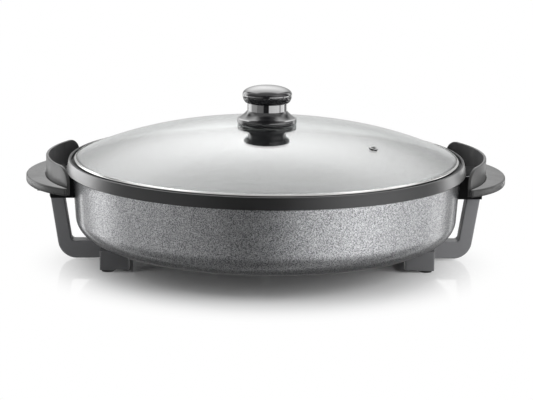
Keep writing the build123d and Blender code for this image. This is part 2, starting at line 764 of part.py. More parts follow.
with BuildPart() as right_guard:
    with BuildSketch(Plane.XY.offset(head_top)):
        with Locations((guard_circle_x, 0)):
            Circle(guard_outer_radius)
            Circle(guard_radius, mode=Mode.SUBTRACT)
    extrude(amount=guard_top - head_top)
    with BuildSketch(Plane.YZ.offset(guard_circle_x)) as guard_face:
        with Locations((0, (guard_top + head_top) / 2)):
            Rectangle(guard_span, guard_top - head_top)
        fillet(guard_face.vertices().sort_by(Axis.Y)[-2:], guard_corner)
    extrude(amount=2 * guard_outer_radius, mode=Mode.INTERSECT)
    fillet(right_guard.edges().group_by(Axis.Z)[-1], guard_edge_rounding)
    # flange that is clamped between the strap's head and the block
    with BuildSketch(Plane.XY.offset(head_top)) as flange_face:
        with Locations((guard_circle_x, 0)):
            Circle(guard_radius + guard_thickness / 2)
            Circle(guard_radius - guard_flange_reach, mode=Mode.SUBTRACT)
        with Locations((guard_inner_face, 0)):
            Rectangle(guard_radius, head_width, mode=Mode.INTERSECT)
    extrude(amount=guard_flange)
    with Locations(*[(head_screw_at, y, head_top) for y in (-head_screw_spread, head_screw_spread)]):
        drill(small_screw_radius + seat_gap, guard_flange)
save_pair("guard", right_guard)

with BuildPart() as head_screws:
    head_screw_places = [
        (x, y) for x in (-head_screw_at, head_screw_at) for y in (-head_screw_spread, head_screw_spread)
    ]
    with Locations(*[(x, y, head_bottom - small_head_height) for x, y in head_screw_places]):
        screw(small_screw_radius, head_height + guard_flange + head_screw_engagement)
save("head_screws", head_screws)

with BuildPart() as right_grip:
    with BuildSketch(Plane.XY.offset(grip_bottom)) as grip_outline:
        with Locations((grip_ellipse_x, 0)):
            Ellipse(grip_reach, grip_half_length)
        with Locations((grip_ellipse_x, 0)):
            Rectangle(2 * grip_reach, 2 * grip_end, mode=Mode.INTERSECT)
        with Locations((guard_circle_x, 0)):
            Circle(grip_inner_radius, mode=Mode.SUBTRACT)
        fillet(grip_outline.vertices().filter_by(lambda v: abs(v.Y) > grip_end - 1), grip_end_rounding)
    extrude(amount=grip_thickness)
    outer_rim = right_grip.edges().filter_by(GeomType.ELLIPSE)
    fillet(outer_rim, grip_end_rounding)
    with Locations(*[(grip_screw_at, y, grip_bottom) for y in (-grip_screw_spread, grip_screw_spread)]):
        drill(small_screw_radius + seat_gap, grip_screw_engagement + seat_gap)
save_pair("grip", right_grip)

with BuildPart() as grip_screws:
    grip_screw_places = [
        (x, y) for x in (-grip_screw_at, grip_screw_at) for y in (-grip_screw_spread, grip_screw_spread)
    ]
    with Locations(*[(x, y, head_bottom - small_head_height) for x, y in grip_screw_places]):
        screw(small_screw_radius, head_height + grip_screw_engagement)
save("grip_screws", grip_screws)

# ================================================================ lid
dome_stations = [glass_radius * step for step in (0.25, 0.5, 0.7, 0.85)]


def dome_curve(drop, start_radius, end_radius):
    """A curve of the dome shape, lowered by a distance, drawn outwards from one radius to another."""
    inner = [r for r in dome_stations if start_radius < r < end_radius]
    stations = [start_radius] + inner + [end_radius]
    return Spline(*[(r, dome(r) - drop) for r in stations])


with BuildPart() as lid_glass:
    with BuildSketch(Plane.XZ):
        with BuildLine():
            top = dome_curve(0, knob_hole_radius, glass_radius)
            bottom = dome_curve(glass_thickness, knob_hole_radius, glass_radius)
            Line(top @ 0, bottom @ 0)
            Line(top @ 1, bottom @ 1)
        make_face()
    revolve(axis=Axis.Z)
    with Locations((*vent_at, rim_top)):
        drill(vent_bore + vent_wall + skin_gap, dome_height + glass_thickness)
save("lid_glass", lid_glass)

band_bottom = recess_floor
lip_radius = glass_radius - band_lip
under_glass = glass_edge - glass_thickness - seat_gap

with BuildPart() as lid_band:
    with BuildSketch(Plane.XZ):
        with BuildLine() as band_outline:
            Polyline(
                (band_outer, band_bottom),
                (band_outer, glass_edge + band_thickness),
                (band_inner, glass_edge + 2 * band_thickness),
                (lip_radius, dome(lip_radius) + skin_gap * 2 + band_thickness),
                (lip_radius, dome(lip_radius) + skin_gap * 2),
                (band_inner, glass_edge + skin_gap * 2),
                (band_inner, under_glass),
                (lip_radius, under_glass),
                (lip_radius, band_bottom),
                close=True,
            )
        make_face()
    revolve(axis=Axis.Z)
save("lid_band", lid_band)

vent_radius = sqrt(vent_at[0] ** 2 + vent_at[1] ** 2)
vent_out = Vector(vent_at[0], vent_at[1], 0).normalized()
vent_slope = dome_height * dome_power / glass_radius * (vent_radius / glass_radius) ** (dome_power - 1)
vent_normal = (vent_out.X * vent_slope, vent_out.Y * vent_slope, 1)
vent_top = Plane(origin=(*vent_at, dome(vent_radius) + skin_gap), z_dir=vent_normal)
vent_under = vent_top.offset(-glass_thickness * cos(atan(vent_slope)) - 2 * skin_gap - vent_flange_thickness)

with BuildPart() as vent_eyelet:
    with BuildSketch(Plane.XY.offset(dome(vent_radius) - glass_thickness - vent_flange_thickness)):
        with Locations(vent_at):
            Circle(vent_bore + vent_wall)
    extrude(amount=glass_thickness + 2 * vent_flange_thickness)
    with BuildSketch(vent_top):
        Circle(vent_flange_radius)
    extrude(amount=vent_flange_thickness)
    with BuildSketch(vent_under):
        Circle(vent_under_radius)
    extrude(amount=vent_flange_thickness)
    with BuildSketch(Plane.XY.offset(rim_top)):
        with Locations(vent_at):
            Circle(vent_bore)
    extrude(amount=dome_height * 2, mode=Mode.SUBTRACT)
save("vent_eyelet", vent_eyelet)

# ================================================================ knob
ring_top = knob_base + knob_ring_height
neck_bottom = knob_base + knob_neck_bottom

with BuildPart() as knob:
    with BuildSketch(Plane.XZ):
        with BuildLine():
            foot = Line((0, knob_base), (knob_ring_radius - knob_ring_draft, knob_base))
            ring_side = Spline(
                foot @ 1,
                (knob_ring_radius, knob_base + knob_ring_widest),
                (knob_ring_radius - knob_ring_top_inset, ring_top),
                tangents=((1, 0.6), (-1, 0.7)),
            )
            skirt = Spline(
                ring_side @ 1,
                (0.5 * (knob_ring_radius + knob_neck_radius), 0.5 * (ring_top + neck_bottom)),
                (knob_neck_radius, neck_bottom),
                tangents=((-1, 0.7), (-0.7, 1)),
            )
            neck = Line(skirt @ 1, (knob_neck_radius, knob_base + knob_neck_top))
            cap = Spline(
                neck @ 1,
                (knob_cap_radius, knob_base + knob_cap_widest),
                (knob_shoulder_radius, knob_base + knob_shoulder_height),
                (0, knob_base + knob_height),
                tangents=((0.45, 1), (-1, 0)),
            )
            Line(cap @ 1, (0, knob_base))
        make_face()
    revolve(axis=Axis.Z)
    with Locations((0, 0, knob_base)):
        drill(insert_radius + skin_gap, insert_length + skin_gap)
save("knob", knob)

with BuildPart() as knob_insert:
    with Locations((0, 0, knob_base)):
        Cylinder(insert_radius, insert_length, align=standing)
        drill(knob_screw_radius + seat_gap, knob_screw_engagement + seat_gap)
save("knob_insert", knob_insert)

with BuildPart() as knob_seal:
    with BuildSketch(Plane.XY.offset(dome(seal_radius))):
        Circle(seal_radius)
        Circle(seal_hole_radius, mode=Mode.SUBTRACT)
    extrude(amount=knob_base - dome(seal_radius))
    with Locations((0, 0, skin_gap)):
        add(lid_glass.part, mode=Mode.SUBTRACT)
save("knob_seal", knob_seal)

washer_top = dome(washer_radius) - glass_thickness - skin_gap

with BuildPart() as knob_washer:
    with BuildSketch(Plane.XY.offset(washer_top - washer_thickness)):
        Circle(washer_radius)
        Circle(knob_screw_radius + seat_gap, mode=Mode.SUBTRACT)
    extrude(amount=washer_thickness)
save("knob_washer", knob_washer)

with BuildPart() as knob_screw:
    with Locations((0, 0, washer_top - washer_thickness - small_head_height)):
        screw(
            knob_screw_radius,
            knob_base - washer_top + washer_thickness + knob_screw_engagement,
            head_radius=knob_screw_head_radius,
        )
save("knob_screw", knob_screw)
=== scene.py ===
"""Looks of a round electric skillet: a hammered cast pan, a loose domed glass lid and two side handles.

Everything is in metres, in the frame's own axes: +Z up, -Y the front, +X the right-hand handle.
"""

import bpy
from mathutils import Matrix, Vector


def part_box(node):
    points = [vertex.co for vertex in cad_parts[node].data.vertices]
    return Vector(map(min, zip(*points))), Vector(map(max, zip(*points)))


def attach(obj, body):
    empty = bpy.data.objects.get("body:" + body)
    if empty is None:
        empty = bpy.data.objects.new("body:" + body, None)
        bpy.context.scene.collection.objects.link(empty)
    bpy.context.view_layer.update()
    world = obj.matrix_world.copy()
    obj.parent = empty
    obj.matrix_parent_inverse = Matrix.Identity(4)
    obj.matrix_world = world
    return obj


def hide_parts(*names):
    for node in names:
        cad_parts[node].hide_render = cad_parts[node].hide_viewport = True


bl_info = {
    "name": "Electric Skillet",
    "version": (1, 0, 0),
    "blender": (4, 5, 0),
    "location": "View3D > Sidebar > Skillet",
    "description": "Builds the visible surfaces, finishes and studio of a round electric skillet",
    "category": "Add Mesh",
}

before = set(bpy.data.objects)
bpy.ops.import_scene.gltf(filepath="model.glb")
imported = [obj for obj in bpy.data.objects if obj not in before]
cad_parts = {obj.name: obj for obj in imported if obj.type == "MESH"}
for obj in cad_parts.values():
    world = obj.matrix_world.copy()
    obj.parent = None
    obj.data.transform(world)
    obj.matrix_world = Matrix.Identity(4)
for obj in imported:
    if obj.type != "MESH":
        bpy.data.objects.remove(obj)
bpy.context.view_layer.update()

from math import asin, cos, pi, radians, sin

import bmesh
import bpy
from bpy.props import FloatProperty, FloatVectorProperty, IntProperty, PointerProperty
from mathutils import Matrix, Vector

MM = 0.001

# ---------- sizes and levels of the studio
PICTURE_WIDTH = 533  # pixels
SENSOR_WIDTH = 36  # millimetres, as Blender's cameras take it
AIM_SIDE = 0.5 * MM  # the camera looks at a point this far to the right of the middle
FLOOR_RADIUS = 7
FLOOR_SIDES = 96
FLOOR_FADE = (0.15, 0.26)  # from the middle, the floor turns into the white room between these
SOFTBOXES = (
    # name, place, target, width, height, watts
    ("overhead_softbox", (0, 0.4, 1.6), (0, 0, 0.1), 1.6, 1.4, 16),
    ("right_softbox", (1.25, -0.72, 0.62), (0, 0, 0.1), 1.3, 0.9, 22),
    ("left_softbox", (-1.25, -0.45, 0.6), (0, 0, 0.1), 0.8, 0.9, 7),
)
# Boxes of light that mirrors see: start, end and softness of the ends in degrees on a compass, which
# counts from the front towards the right, and brightness.
REFLECTED_PANELS = (
    (-170, -145, 5, 1.3),
    (-128, -106, 9, 0.88),
    (-112, -36, 22, 0.27),
    (29, 92, 27, 0.98),
    (114, 131, 8, 1.05),
    (145, 165, 6, 0.7),
)
REFLECTED_STRIPES = (
    (-170, -145, 5, 3.6),
    (-137, -102, 2, 3.9),
    (-100, -61, 1, 2.2),
    (-59, -23, 2, 1.1),
    (8, 75, 2, 5.2),
    (82, 116, 2, 5.2),
    (145, 165, 6, 3.4),
)
REFLECTED_WINDOWS = (
    (-149, -116, 9, 2.6),
    (119, 138, 8, 1.5),
)
# Soft changes over that room, by a ray's height unless a comment says otherwise: where one starts and
# ends, from -1 to 1, and the level before and after it.
CEILING = (0.5, 0.9, 0.09, 0.6)  # from the dark front to the ceiling
PANELS_TOP = (0.7, 0.92, 1, 0)
STRIPES_FOOT = (-0.22, -0.2, 0, 1)
STRIPES_TOP = (-0.12, -0.1, 1, 0)
WINDOWS_FOOT = (-0.12, -0.02, 0, 1)
WINDOWS_TOP = (0.35, 0.6, 1, 0)
SKY_SLANT = 0.5  # the sky starts higher to the sides, by this share of the way across
SKY_RISE = (0, 0.55, 0.62, 3.1)
SKY_FOOT = (-0.3, -0.08, 0.25, 1)
SKY_TOP = (0.87, 0.97, 1, 0.35)
SKY_SIDES = (0.38, 0.56, 1, 0)  # by the way across, because the sky lies only behind the object
SKY_DEPTH = (-0.05, 0.35, 0, 1)  # by the way back
GROUND = (-0.75, -0.25, 0.3, 1)

# ---------- sizes of the mesh work
SAME_PLACE = 1e-6  # points closer than this are one
BEVEL_STEPS = 3
SOFT_EDGE_STEPS = 2
STUD_SIDES = 32
FLAT_ANGLE = 0.6  # degrees between facets of one flat or round face
MOULDED_SHARP = 30  # degrees past which a moulding has an edge, which is softened or stays sharp
FACES_AXIS = 0.5  # share of a face's normal past which it looks towards the Z axis
FACES_UP = 0.9  # and past which it looks up

# ---------- sizes shared with the frame
RIM_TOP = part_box("pan_body")[1].z
RIM_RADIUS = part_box("pan_body")[1].y
RIM_HEIGHT = 12.2 * MM
RIM_COLLAR = 5.4 * MM
RIM_LEAN = 2.8 * MM  # the rim's top edge stands this far inside its lower edge
RECESS_DEPTH = 4 * MM
LEDGE_WIDTH = 8 * MM
WALL_RADIUS = 204 * MM
WALL_DRAFT = 0.068
WALL_THICKNESS = 4 * MM
WALL_ROWS = 6
HEEL_WIDTH = 32.5 * MM
HEEL_HEIGHT = 25 * MM
HEEL_STEPS = 18
INSIDE_STEPS = 14
FLOOR_RINGS = (0.25, 0.5, 0.75)  # shares of the heater pocket's radius
PAN_UNDERSIDE = 25 * MM
FOOT_RING_WIDTH = 22.3 * MM
POCKET_TOP = 34 * MM
INSIDE_FLOOR = 39 * MM
RIM_BOTTOM = RIM_TOP - RIM_HEIGHT
HEEL_TOP = PAN_UNDERSIDE + HEEL_HEIGHT
RECESS_FLOOR = RIM_TOP - RECESS_DEPTH
RECESS_RADIUS = RIM_RADIUS - RIM_COLLAR
LEDGE_RADIUS = RECESS_RADIUS - LEDGE_WIDTH
PAN_ROUNDING = 0.8 * MM
RECESS_ROUNDING = 0.6 * MM
LEDGE_ROUNDING = 1 * MM
ZONE_LAP = 0.5 * MM  # a finish starts this far below its zone
LEDGE_LAP = 1.5 * MM  # the rim's finishes end this far inside the ledge's inner edge
SATIN_LAP = 0.4 * MM  # the satin ends this far inside the rim's top edge

SCREW_HEAD = 3.6 * MM
FOOT_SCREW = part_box("foot_screws")[1].xy - Vector((SCREW_HEAD, SCREW_HEAD))
BOSS_RADIUS = 5.6 * MM
BOSS_HEIGHT = 2 * MM
ELEMENT_HALF = 3.75 * MM
RIB_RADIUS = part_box("heating_element")[1].x - ELEMENT_HALF
RIB_HALF = 6.5 * MM
RIB_BOTTOM = 28.5 * MM
RIB_GAP_SIDE = 43 * MM
RIB_STEPS = 160
PROBE_BOSS_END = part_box("probe_guide")[0].y
PROBE_BOSS_LENGTH = 17 * MM
PROBE_BOSS_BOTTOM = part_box("pan_body")[0].z
LUG_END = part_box("pan_body")[1].x
LUG_ROOT = 5 * MM  # inside the wall's outer face
LUG_START = WALL_RADIUS - LUG_ROOT
LUG_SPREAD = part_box("block_screws")[1].y - SCREW_HEAD
LUG_HALF = 4.5 * MM
LUG_INSET = 1 * MM  # below the mounting block's top
LUG_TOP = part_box("left_mounting_block")[1].z - LUG_INSET
LUG_HEIGHT = 14 * MM

BAND_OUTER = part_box("lid_band")[1].x
BAND_THICKNESS = 0.8 * MM
BAND_LIP = 0.45 * MM
BAND_FOOT = 3.2 * MM
BAND_OVERHANG = 0.35 * MM
BAND_FLANGE = BAND_OUTER + BAND_OVERHANG
BAND_DROP = 0.4 * MM  # the flange's edge is this far below the glass edge
BAND_GAP = 0.1 * MM  # between the steel and the glass
BAND_FLANGE_ROUNDING = 0.3 * MM
BAND_LIP_ROUNDING = 0.35 * MM
BAND_FOOT_ROUNDING = 0.5 * MM
GLASS_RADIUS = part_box("lid_glass")[1].x
GLASS_THICKNESS = 4 * MM
GLASS_LIFT = 0.8 * MM  # the glass edge stands this far above the rim
GLASS_EDGE = RIM_TOP + GLASS_LIFT
DOME_HEIGHT = 35.2 * MM
DOME_POWER = 2.55
GLASS_ROUNDING = 0.8 * MM
KNOB_HOLE = 4 * MM
VENT_AT = Vector((105 * MM, -79 * MM))
VENT_HOLE = 3.05 * MM
VENT_BORE = 2.2 * MM
VENT_WALL = 0.8 * MM
VENT_FLANGE = 4.6 * MM
VENT_FLANGE_HEIGHT = 0.9 * MM
VENT_SEAT = 0.05 * MM  # the flange stands this far off the glass
VENT_CHAMFER = 0.4 * MM
VENT_STEPS = 6
VENT_FACETS = 48

KNOB_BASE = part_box("knob")[0].z
KNOB_HEIGHT = 39.7 * MM
KNOB_BORE = 5.1 * MM
KNOB_BORE_DEPTH = 14 * MM
KNOB_RING_RADIUS = 31.2 * MM
KNOB_RING_HEIGHT = 5.4 * MM
KNOB_RING_BULGE = 1.5 * MM
KNOB_RING_POWER = 5.5
KNOB_RING_END = 78  # degrees up the ring's round, where the skirt starts
KNOB_RING_STEPS = 16
KNOB_NECK_RADIUS = 20.8 * MM
KNOB_NECK_WAIST = 0.03 * MM
KNOB_NECK_LOW = 13.6 * MM
KNOB_NECK_HIGH = 21.4 * MM
KNOB_CAP_RADIUS = 25.9 * MM
KNOB_CAP_WIDEST = 30.6 * MM
KNOB_CROWN_POWER = 2.15
# From the ring to the neck: share of the way, and sag in millimetres.
KNOB_SKIRT = ((0.12, 0.25), (0.3, 0.4), (0.5, 0.55), (0.7, 0.55), (0.88, 0.35))
KNOB_NECK_STEPS = 8
KNOB_FLARE_START = -72  # degrees on the round under the cap
KNOB_FLARE_STEPS = 12
KNOB_CROWN_STEPS = 28
KNOB_FACETS = 128


# ---------- settings a user would change
class CastPanSettings(bpy.types.PropertyGroup):
    coat_dark: FloatVectorProperty(
        name="Coat, hollows", description="Colour of the hammered coat between its flecks",
        subtype="COLOR", size=3, min=0, max=1, default=(0.145, 0.148, 0.155),
    )
    coat_light: FloatVectorProperty(
        name="Coat, flecks", description="Colour of the raised flecks of the hammered coat",
        subtype="COLOR", size=3, min=0, max=1, default=(0.66, 0.665, 0.68),
    )
    fleck_size: FloatProperty(
        name="Fleck size", description="Width of one fleck of the hammered coat",
        subtype="DISTANCE", unit="LENGTH", min=0.0002, max=0.02, default=0.85 * MM,
    )
    rim_colour: FloatVectorProperty(
        name="Rim", description="Colour of the satin rim",
        subtype="COLOR", size=3, min=0, max=1, default=(0.042, 0.042, 0.043),
    )
    nonstick_colour: FloatVectorProperty(
        name="Non-stick coat", description="Colour of the coat inside the pan",
        subtype="COLOR", size=3, min=0, max=1, default=(0.016, 0.016, 0.017),
    )
    facets: IntProperty(
        name="Steps round", description="Steps of the pan's round surfaces", min=48, max=512, default=256,
    )


class GlassLidSettings(bpy.types.PropertyGroup):
    glass_tint: FloatVectorProperty(
        name="Glass", description="Tint of the tempered glass",
        subtype="COLOR", size=3, min=0, max=1, default=(0.90, 0.925, 0.92),
    )
    band_colour: FloatVectorProperty(
        name="Band", description="Colour of the steel band",
        subtype="COLOR", size=3, min=0, max=1, default=(0.37, 0.365, 0.355),
    )
    knob_colour: FloatVectorProperty(
        name="Knob", description="Colour of the polished knob",
        subtype="COLOR", size=3, min=0, max=1, default=(0.006, 0.006, 0.007),
    )
    dome_rings: IntProperty(
        name="Dome rings", description="Rings of faces from the knob to the glass edge",
        min=8, max=96, default=36,
    )
    facets: IntProperty(
        name="Steps round", description="Steps of the lid's round surfaces", min=48, max=512, default=240,
    )


class HandleSettings(bpy.types.PropertyGroup):
    plastic_colour: FloatVectorProperty(
        name="Plastic", description="Colour of the heat-proof mouldings",
        subtype="COLOR", size=3, min=0, max=1, default=(0.018, 0.018, 0.019),
    )
    strap_colour: FloatVectorProperty(
        name="Straps", description="Colour of the side straps and foot rails",
        subtype="COLOR", size=3, min=0, max=1, default=(0.19, 0.191, 0.197),
    )
    plate_colour: FloatVectorProperty(
        name="Grip plate", description="Colour of the grips' top plates",
        subtype="COLOR", size=3, min=0, max=1, default=(0.038, 0.038, 0.038),
    )
    edge_softness: FloatProperty(
        name="Edge softness", description="Radius of the small rounding on moulded edges",
        subtype="DISTANCE", unit="LENGTH", min=0.0001, max=0.003, default=0.5 * MM,
    )


class StudioSettings(bpy.types.PropertyGroup):
    camera_azimuth: FloatProperty(
        name="Camera azimuth", description="Turn of the camera about the object, 0 is the front",
        subtype="ANGLE", unit="ROTATION", default=radians(-2.3),
    )
    camera_elevation: FloatProperty(
        name="Camera elevation", description="Angle of the camera above the rim's plane",
        subtype="ANGLE", unit="ROTATION", default=radians(10.7),
    )
    camera_roll: FloatProperty(
        name="Camera roll", description="Turn of the camera about its own axis",
        subtype="ANGLE", unit="ROTATION", default=radians(0.7),
    )
    camera_distance: FloatProperty(
        name="Camera distance", description="From the camera to the middle of the rim",
        subtype="DISTANCE", unit="LENGTH", default=2.0,
    )
    aim_height: FloatProperty(
        name="Aim height", description="Height of the point that the camera looks at",
        subtype="DISTANCE", unit="LENGTH", default=0.0637,
    )
    focal_pixels: FloatProperty(
        name="Focal length in pixels", description="Focal length over the width of one pixel of the picture",
        default=1897.0,
    )
    fill_level: FloatProperty(
        name="Fill level", description="Strength of the even light from the room on matt surfaces",
        min=0, max=2, default=0.28,
    )
    floor_colour: FloatVectorProperty(
        name="Floor", description="Colour of the glossy floor",
        subtype="COLOR", size=3, min=0, max=1, default=(0.93, 0.93, 0.93),
    )


# ---------- mesh helpers
def wall_outside(z):
    """Radius of the pan's outer wall at a height."""
    return WALL_RADIUS - WALL_DRAFT * (RIM_BOTTOM - z)


def dome(radius):
    """Height of the glass's outer face at a distance from the lid's axis."""
    return GLASS_EDGE + DOME_HEIGHT * (1 - (radius / GLASS_RADIUS) ** DOME_POWER)


def dome_slope(radius):
    """How steeply the glass falls away from the lid's axis at a distance from it."""
    return DOME_HEIGHT * DOME_POWER / GLASS_RADIUS * (radius / GLASS_RADIUS) ** (DOME_POWER - 1)


def evenly(start, end, steps):
    """Values in even steps from start to end, with both of them."""
    return [start + (end - start) * i / steps for i in range(steps + 1)]


def quarter(centre, width, height, start, end, steps, power=2.0):
    """Points on a stretch of an ellipse, with angles in degrees from +r towards +z.

    A power above 2 squares the ellipse's shoulders.
    """
    points = []
    for angle in evenly(start, end, steps):
        across, up = cos(radians(angle)), sin(radians(angle))
        spread = (abs(across) ** power + abs(up) ** power) ** (-1 / power)
        points.append((centre[0] + width * across * spread, centre[1] + height * up * spread))
    return points


def spun(profile, facets, closed=True, softened=()):
    """A mesh turned about the Z axis from (radius, height) points.

    softened lists (corner, size) pairs: the ring of edges through that corner is rounded by that size.
    """
    bm = bmesh.new()
    verts = [bm.verts.new((r, 0, z)) for r, z in profile]
    edges = [bm.edges.new(pair) for pair in zip(verts, verts[1:])]
    if closed:
        edges.append(bm.edges.new((verts[-1], verts[0])))
    bmesh.ops.spin(
        bm, geom=verts + edges, axis=(0, 0, 1), cent=(0, 0, 0), angle=2 * pi, steps=facets, use_merge=True
    )
    bmesh.ops.remove_doubles(bm, verts=bm.verts[:], dist=SAME_PLACE)
    bmesh.ops.recalc_face_normals(bm, faces=bm.faces[:])
    for (radius, height), size in softened:
        ring = [e for e in bm.edges if all(on_ring(v, radius, height) for v in e.verts)]
        bmesh.ops.bevel(
            bm, geom=ring, offset=size, affect="EDGES", segments=BEVEL_STEPS, profile=0.5, material=-1,
            offset_type="OFFSET", clamp_overlap=True,
        )
    return bm


def on_ring(vert, radius, height):
    """True if a vertex lies on the circle of that radius and height about the Z axis."""
    return abs(vert.co.z - height) < SAME_PLACE and abs(vert.co.xy.length - radius) < SAME_PLACE


def add_box(bm, low, high):
    """Adds a closed box between two corners."""
    low, high = Vector(low), Vector(high)
    made = bmesh.ops.create_cube(bm, size=1)["verts"]
    bmesh.ops.scale(bm, vec=high - low, verts=made)
    bmesh.ops.translate(bm, vec=(high + low) / 2, verts=made)


def add_stud(bm, centre, radius, bottom, top):
    """Adds a closed upright cylinder."""
    made = bmesh.ops.create_cone(
        bm, cap_ends=True, segments=STUD_SIDES, radius1=radius, radius2=radius, depth=top - bottom
    )["verts"]
    bmesh.ops.translate(bm, vec=(centre[0], centre[1], (top + bottom) / 2), verts=made)


def finish_piece(bm, name, body, finishes, replaces, sharp=35, flat=False):
    """Turns a bmesh into a piece that rides on a body, smooth but for edges past an angle in degrees.

    With flat, its large faces stay flat beside their rounded edges.
    """
    limit = radians(sharp)
    for face in bm.faces:
        face.smooth = True
    for edge in bm.edges:
        edge.smooth = len(edge.link_faces) == 2 and edge.calc_face_angle(0) < limit
    mesh = bpy.data.meshes.new(name)
    bm.to_mesh(mesh)
    bm.free()
    piece = bpy.data.objects.new(name, mesh)
    bpy.context.scene.collection.objects.link(piece)
    for finish in finishes:
        mesh.materials.append(finish_of(finish))
    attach(piece, body)
    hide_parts(*replaces)
    if flat:
        piece.modifiers.new("Flat faces", "WEIGHTED_NORMAL").keep_sharp = True
    return piece


def merged_copy(node, name, body, finish, softness=0.0, inside=None):
    """A piece with the frame node's own shape, its facets joined and its edges softened by a bevel.

    Faces that look towards the Z axis take the inside finish, if there is one: a darker finish that paints
    shade on them.
    """
    bm = bmesh.new()
    bm.from_mesh(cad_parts[node].data)
    bmesh.ops.remove_doubles(bm, verts=bm.verts[:], dist=SAME_PLACE)
    bmesh.ops.dissolve_limit(
        bm, angle_limit=radians(FLAT_ANGLE), verts=bm.verts[:], edges=bm.edges[:],
        use_dissolve_boundaries=False,
    )
    finishes = [finish]
    if inside:
        finishes.append(inside)
        for face in bm.faces:
            inwards = -face.normal.xy.dot(face.calc_center_median().xy.normalized())
            face.material_index = int(inwards > FACES_AXIS)
    piece = finish_piece(bm, name, body, finishes, replaces=(node,), sharp=MOULDED_SHARP)
    if softness:
        bevel = piece.modifiers.new("Soft edges", "BEVEL")
        bevel.width = softness
        bevel.segments = SOFT_EDGE_STEPS
        bevel.limit_method = "ANGLE"
        bevel.angle_limit = radians(MOULDED_SHARP)
        bevel.harden_normals = True
    return piece


# ---------- shader helpers
def wire(tree, socket, value):
    """Feeds an input from an output socket or a plain value."""
    if isinstance(value, bpy.types.NodeSocket):
        tree.links.new(value, socket)
    else:
        socket.default_value = value


def feed(tree, node, **values):
    """Feeds inputs of a node by their names, with _ for a space."""
    for label, value in values.items():
        wire(tree, node.inputs[label.replace("_", " ")], value)
    return node


def group_with(name, inputs, outputs):
    """A new shader node group with a vector, float inputs and named outputs, and its sockets inside."""
    group = bpy.data.node_groups.new(name, "ShaderNodeTree")
    group.interface.new_socket("Vector", in_out="INPUT", socket_type="NodeSocketVector")
    for label, value in inputs:
        socket = group.interface.new_socket(label, in_out="INPUT", socket_type="NodeSocketFloat")
        socket.default_value = value
    for label in outputs:
        group.interface.new_socket(label, in_out="OUTPUT", socket_type="NodeSocketFloat")
    start, end = group.nodes.new("NodeGroupInput"), group.nodes.new("NodeGroupOutput")
    return group, start.outputs, end.inputs


def math_node(tree, operation, first, second=0.0):
    """A math node fed by sockets or plain numbers, as its output socket."""
    node = tree.nodes.new("ShaderNodeMath")
    node.operation = operation
    for socket, value in zip(node.inputs, (first, second)):
        wire(tree, socket, value)
    return node.outputs[0]


def product(tree, first, second):
    """The product of two sockets or plain numbers, as an output socket."""
    return math_node(tree, "MULTIPLY", first, second)


def remap(tree, value, low, high, to_low=0.0, to_high=1.0):
    """A smooth map of a value from one range to another, as its output socket."""
    node = tree.nodes.new("ShaderNodeMapRange")
    node.interpolation_type = "SMOOTHSTEP"
    feed(tree, node, Value=value, From_Min=low, From_Max=high, To_Min=to_low, To_Max=to_high)
    return node.outputs["Result"]


def noise(tree, vector, scale, detail=2.0, roughness=0.5, distortion=0.0):
    """A noise texture on a vector socket, as its value output."""
    node = tree.nodes.new("ShaderNodeTexNoise")
    feed(tree, node, Vector=vector, Scale=scale, Detail=detail, Roughness=roughness, Distortion=distortion)
    return node.outputs["Fac"]


def hammer_group():
    """Hammered enamel: bright curled flecks in a darker ground."""
    group, given, out = group_with("Hammered Coat", [("Fleck Size", 1.1 * MM)], ["Flecks", "Height"])
    scale = math_node(group, "DIVIDE", 1.0, given["Fleck Size"])
    curls = noise(group, given["Vector"], scale, detail=1.0, distortion=0.5)
    patches = noise(group, given["Vector"], product(group, scale, 0.23), detail=1.0)
    flecks = product(group, remap(group, curls, 0.36, 0.64), remap(group, patches, 0.2, 0.8, 0.7, 1.0))
    group.links.new(flecks, out["Flecks"])
    group.links.new(math_node(group, "ADD", curls, product(group, patches, 0.5)), out["Height"])


def grain_group():
    """Fine moulded or sprayed grain, with slow patches of handling."""
    group, given, out = group_with("Fine Grain", [("Grain Size", 0.6 * MM)], ["Grain", "Patches"])
    scale = math_node(group, "DIVIDE", 1.0, given["Grain Size"])
    group.links.new(noise(group, given["Vector"], scale, detail=3.0), out["Grain"])
    slow = noise(group, given["Vector"], 18.0, detail=4.0, roughness=0.6)
    group.links.new(remap(group, slow, 0.3, 0.7), out["Patches"])


def turned_group():
    """Fine marks that run round the Z axis, as on turned, rolled or brushed metal."""
    group, given, out = group_with("Turned Marks", [("Pitch", 0.4 * MM)], ["Marks"])
    parts = group.nodes.new("ShaderNodeSeparateXYZ")
    group.links.new(given["Vector"], parts.inputs[0])
    squares = [math_node(group, "POWER", parts.outputs[axis], 2.0) for axis in "XY"]
    across = math_node(group, "SQRT", math_node(group, "ADD", *squares))
    scale = math_node(group, "DIVIDE", 1.0, given["Pitch"])
    line = group.nodes.new("ShaderNodeCombineXYZ")
    feed(group, line, X=product(group, across, scale), Y=product(group, parts.outputs["Z"], scale))
    group.links.new(noise(group, line.outputs[0], 1.0), out["Marks"])


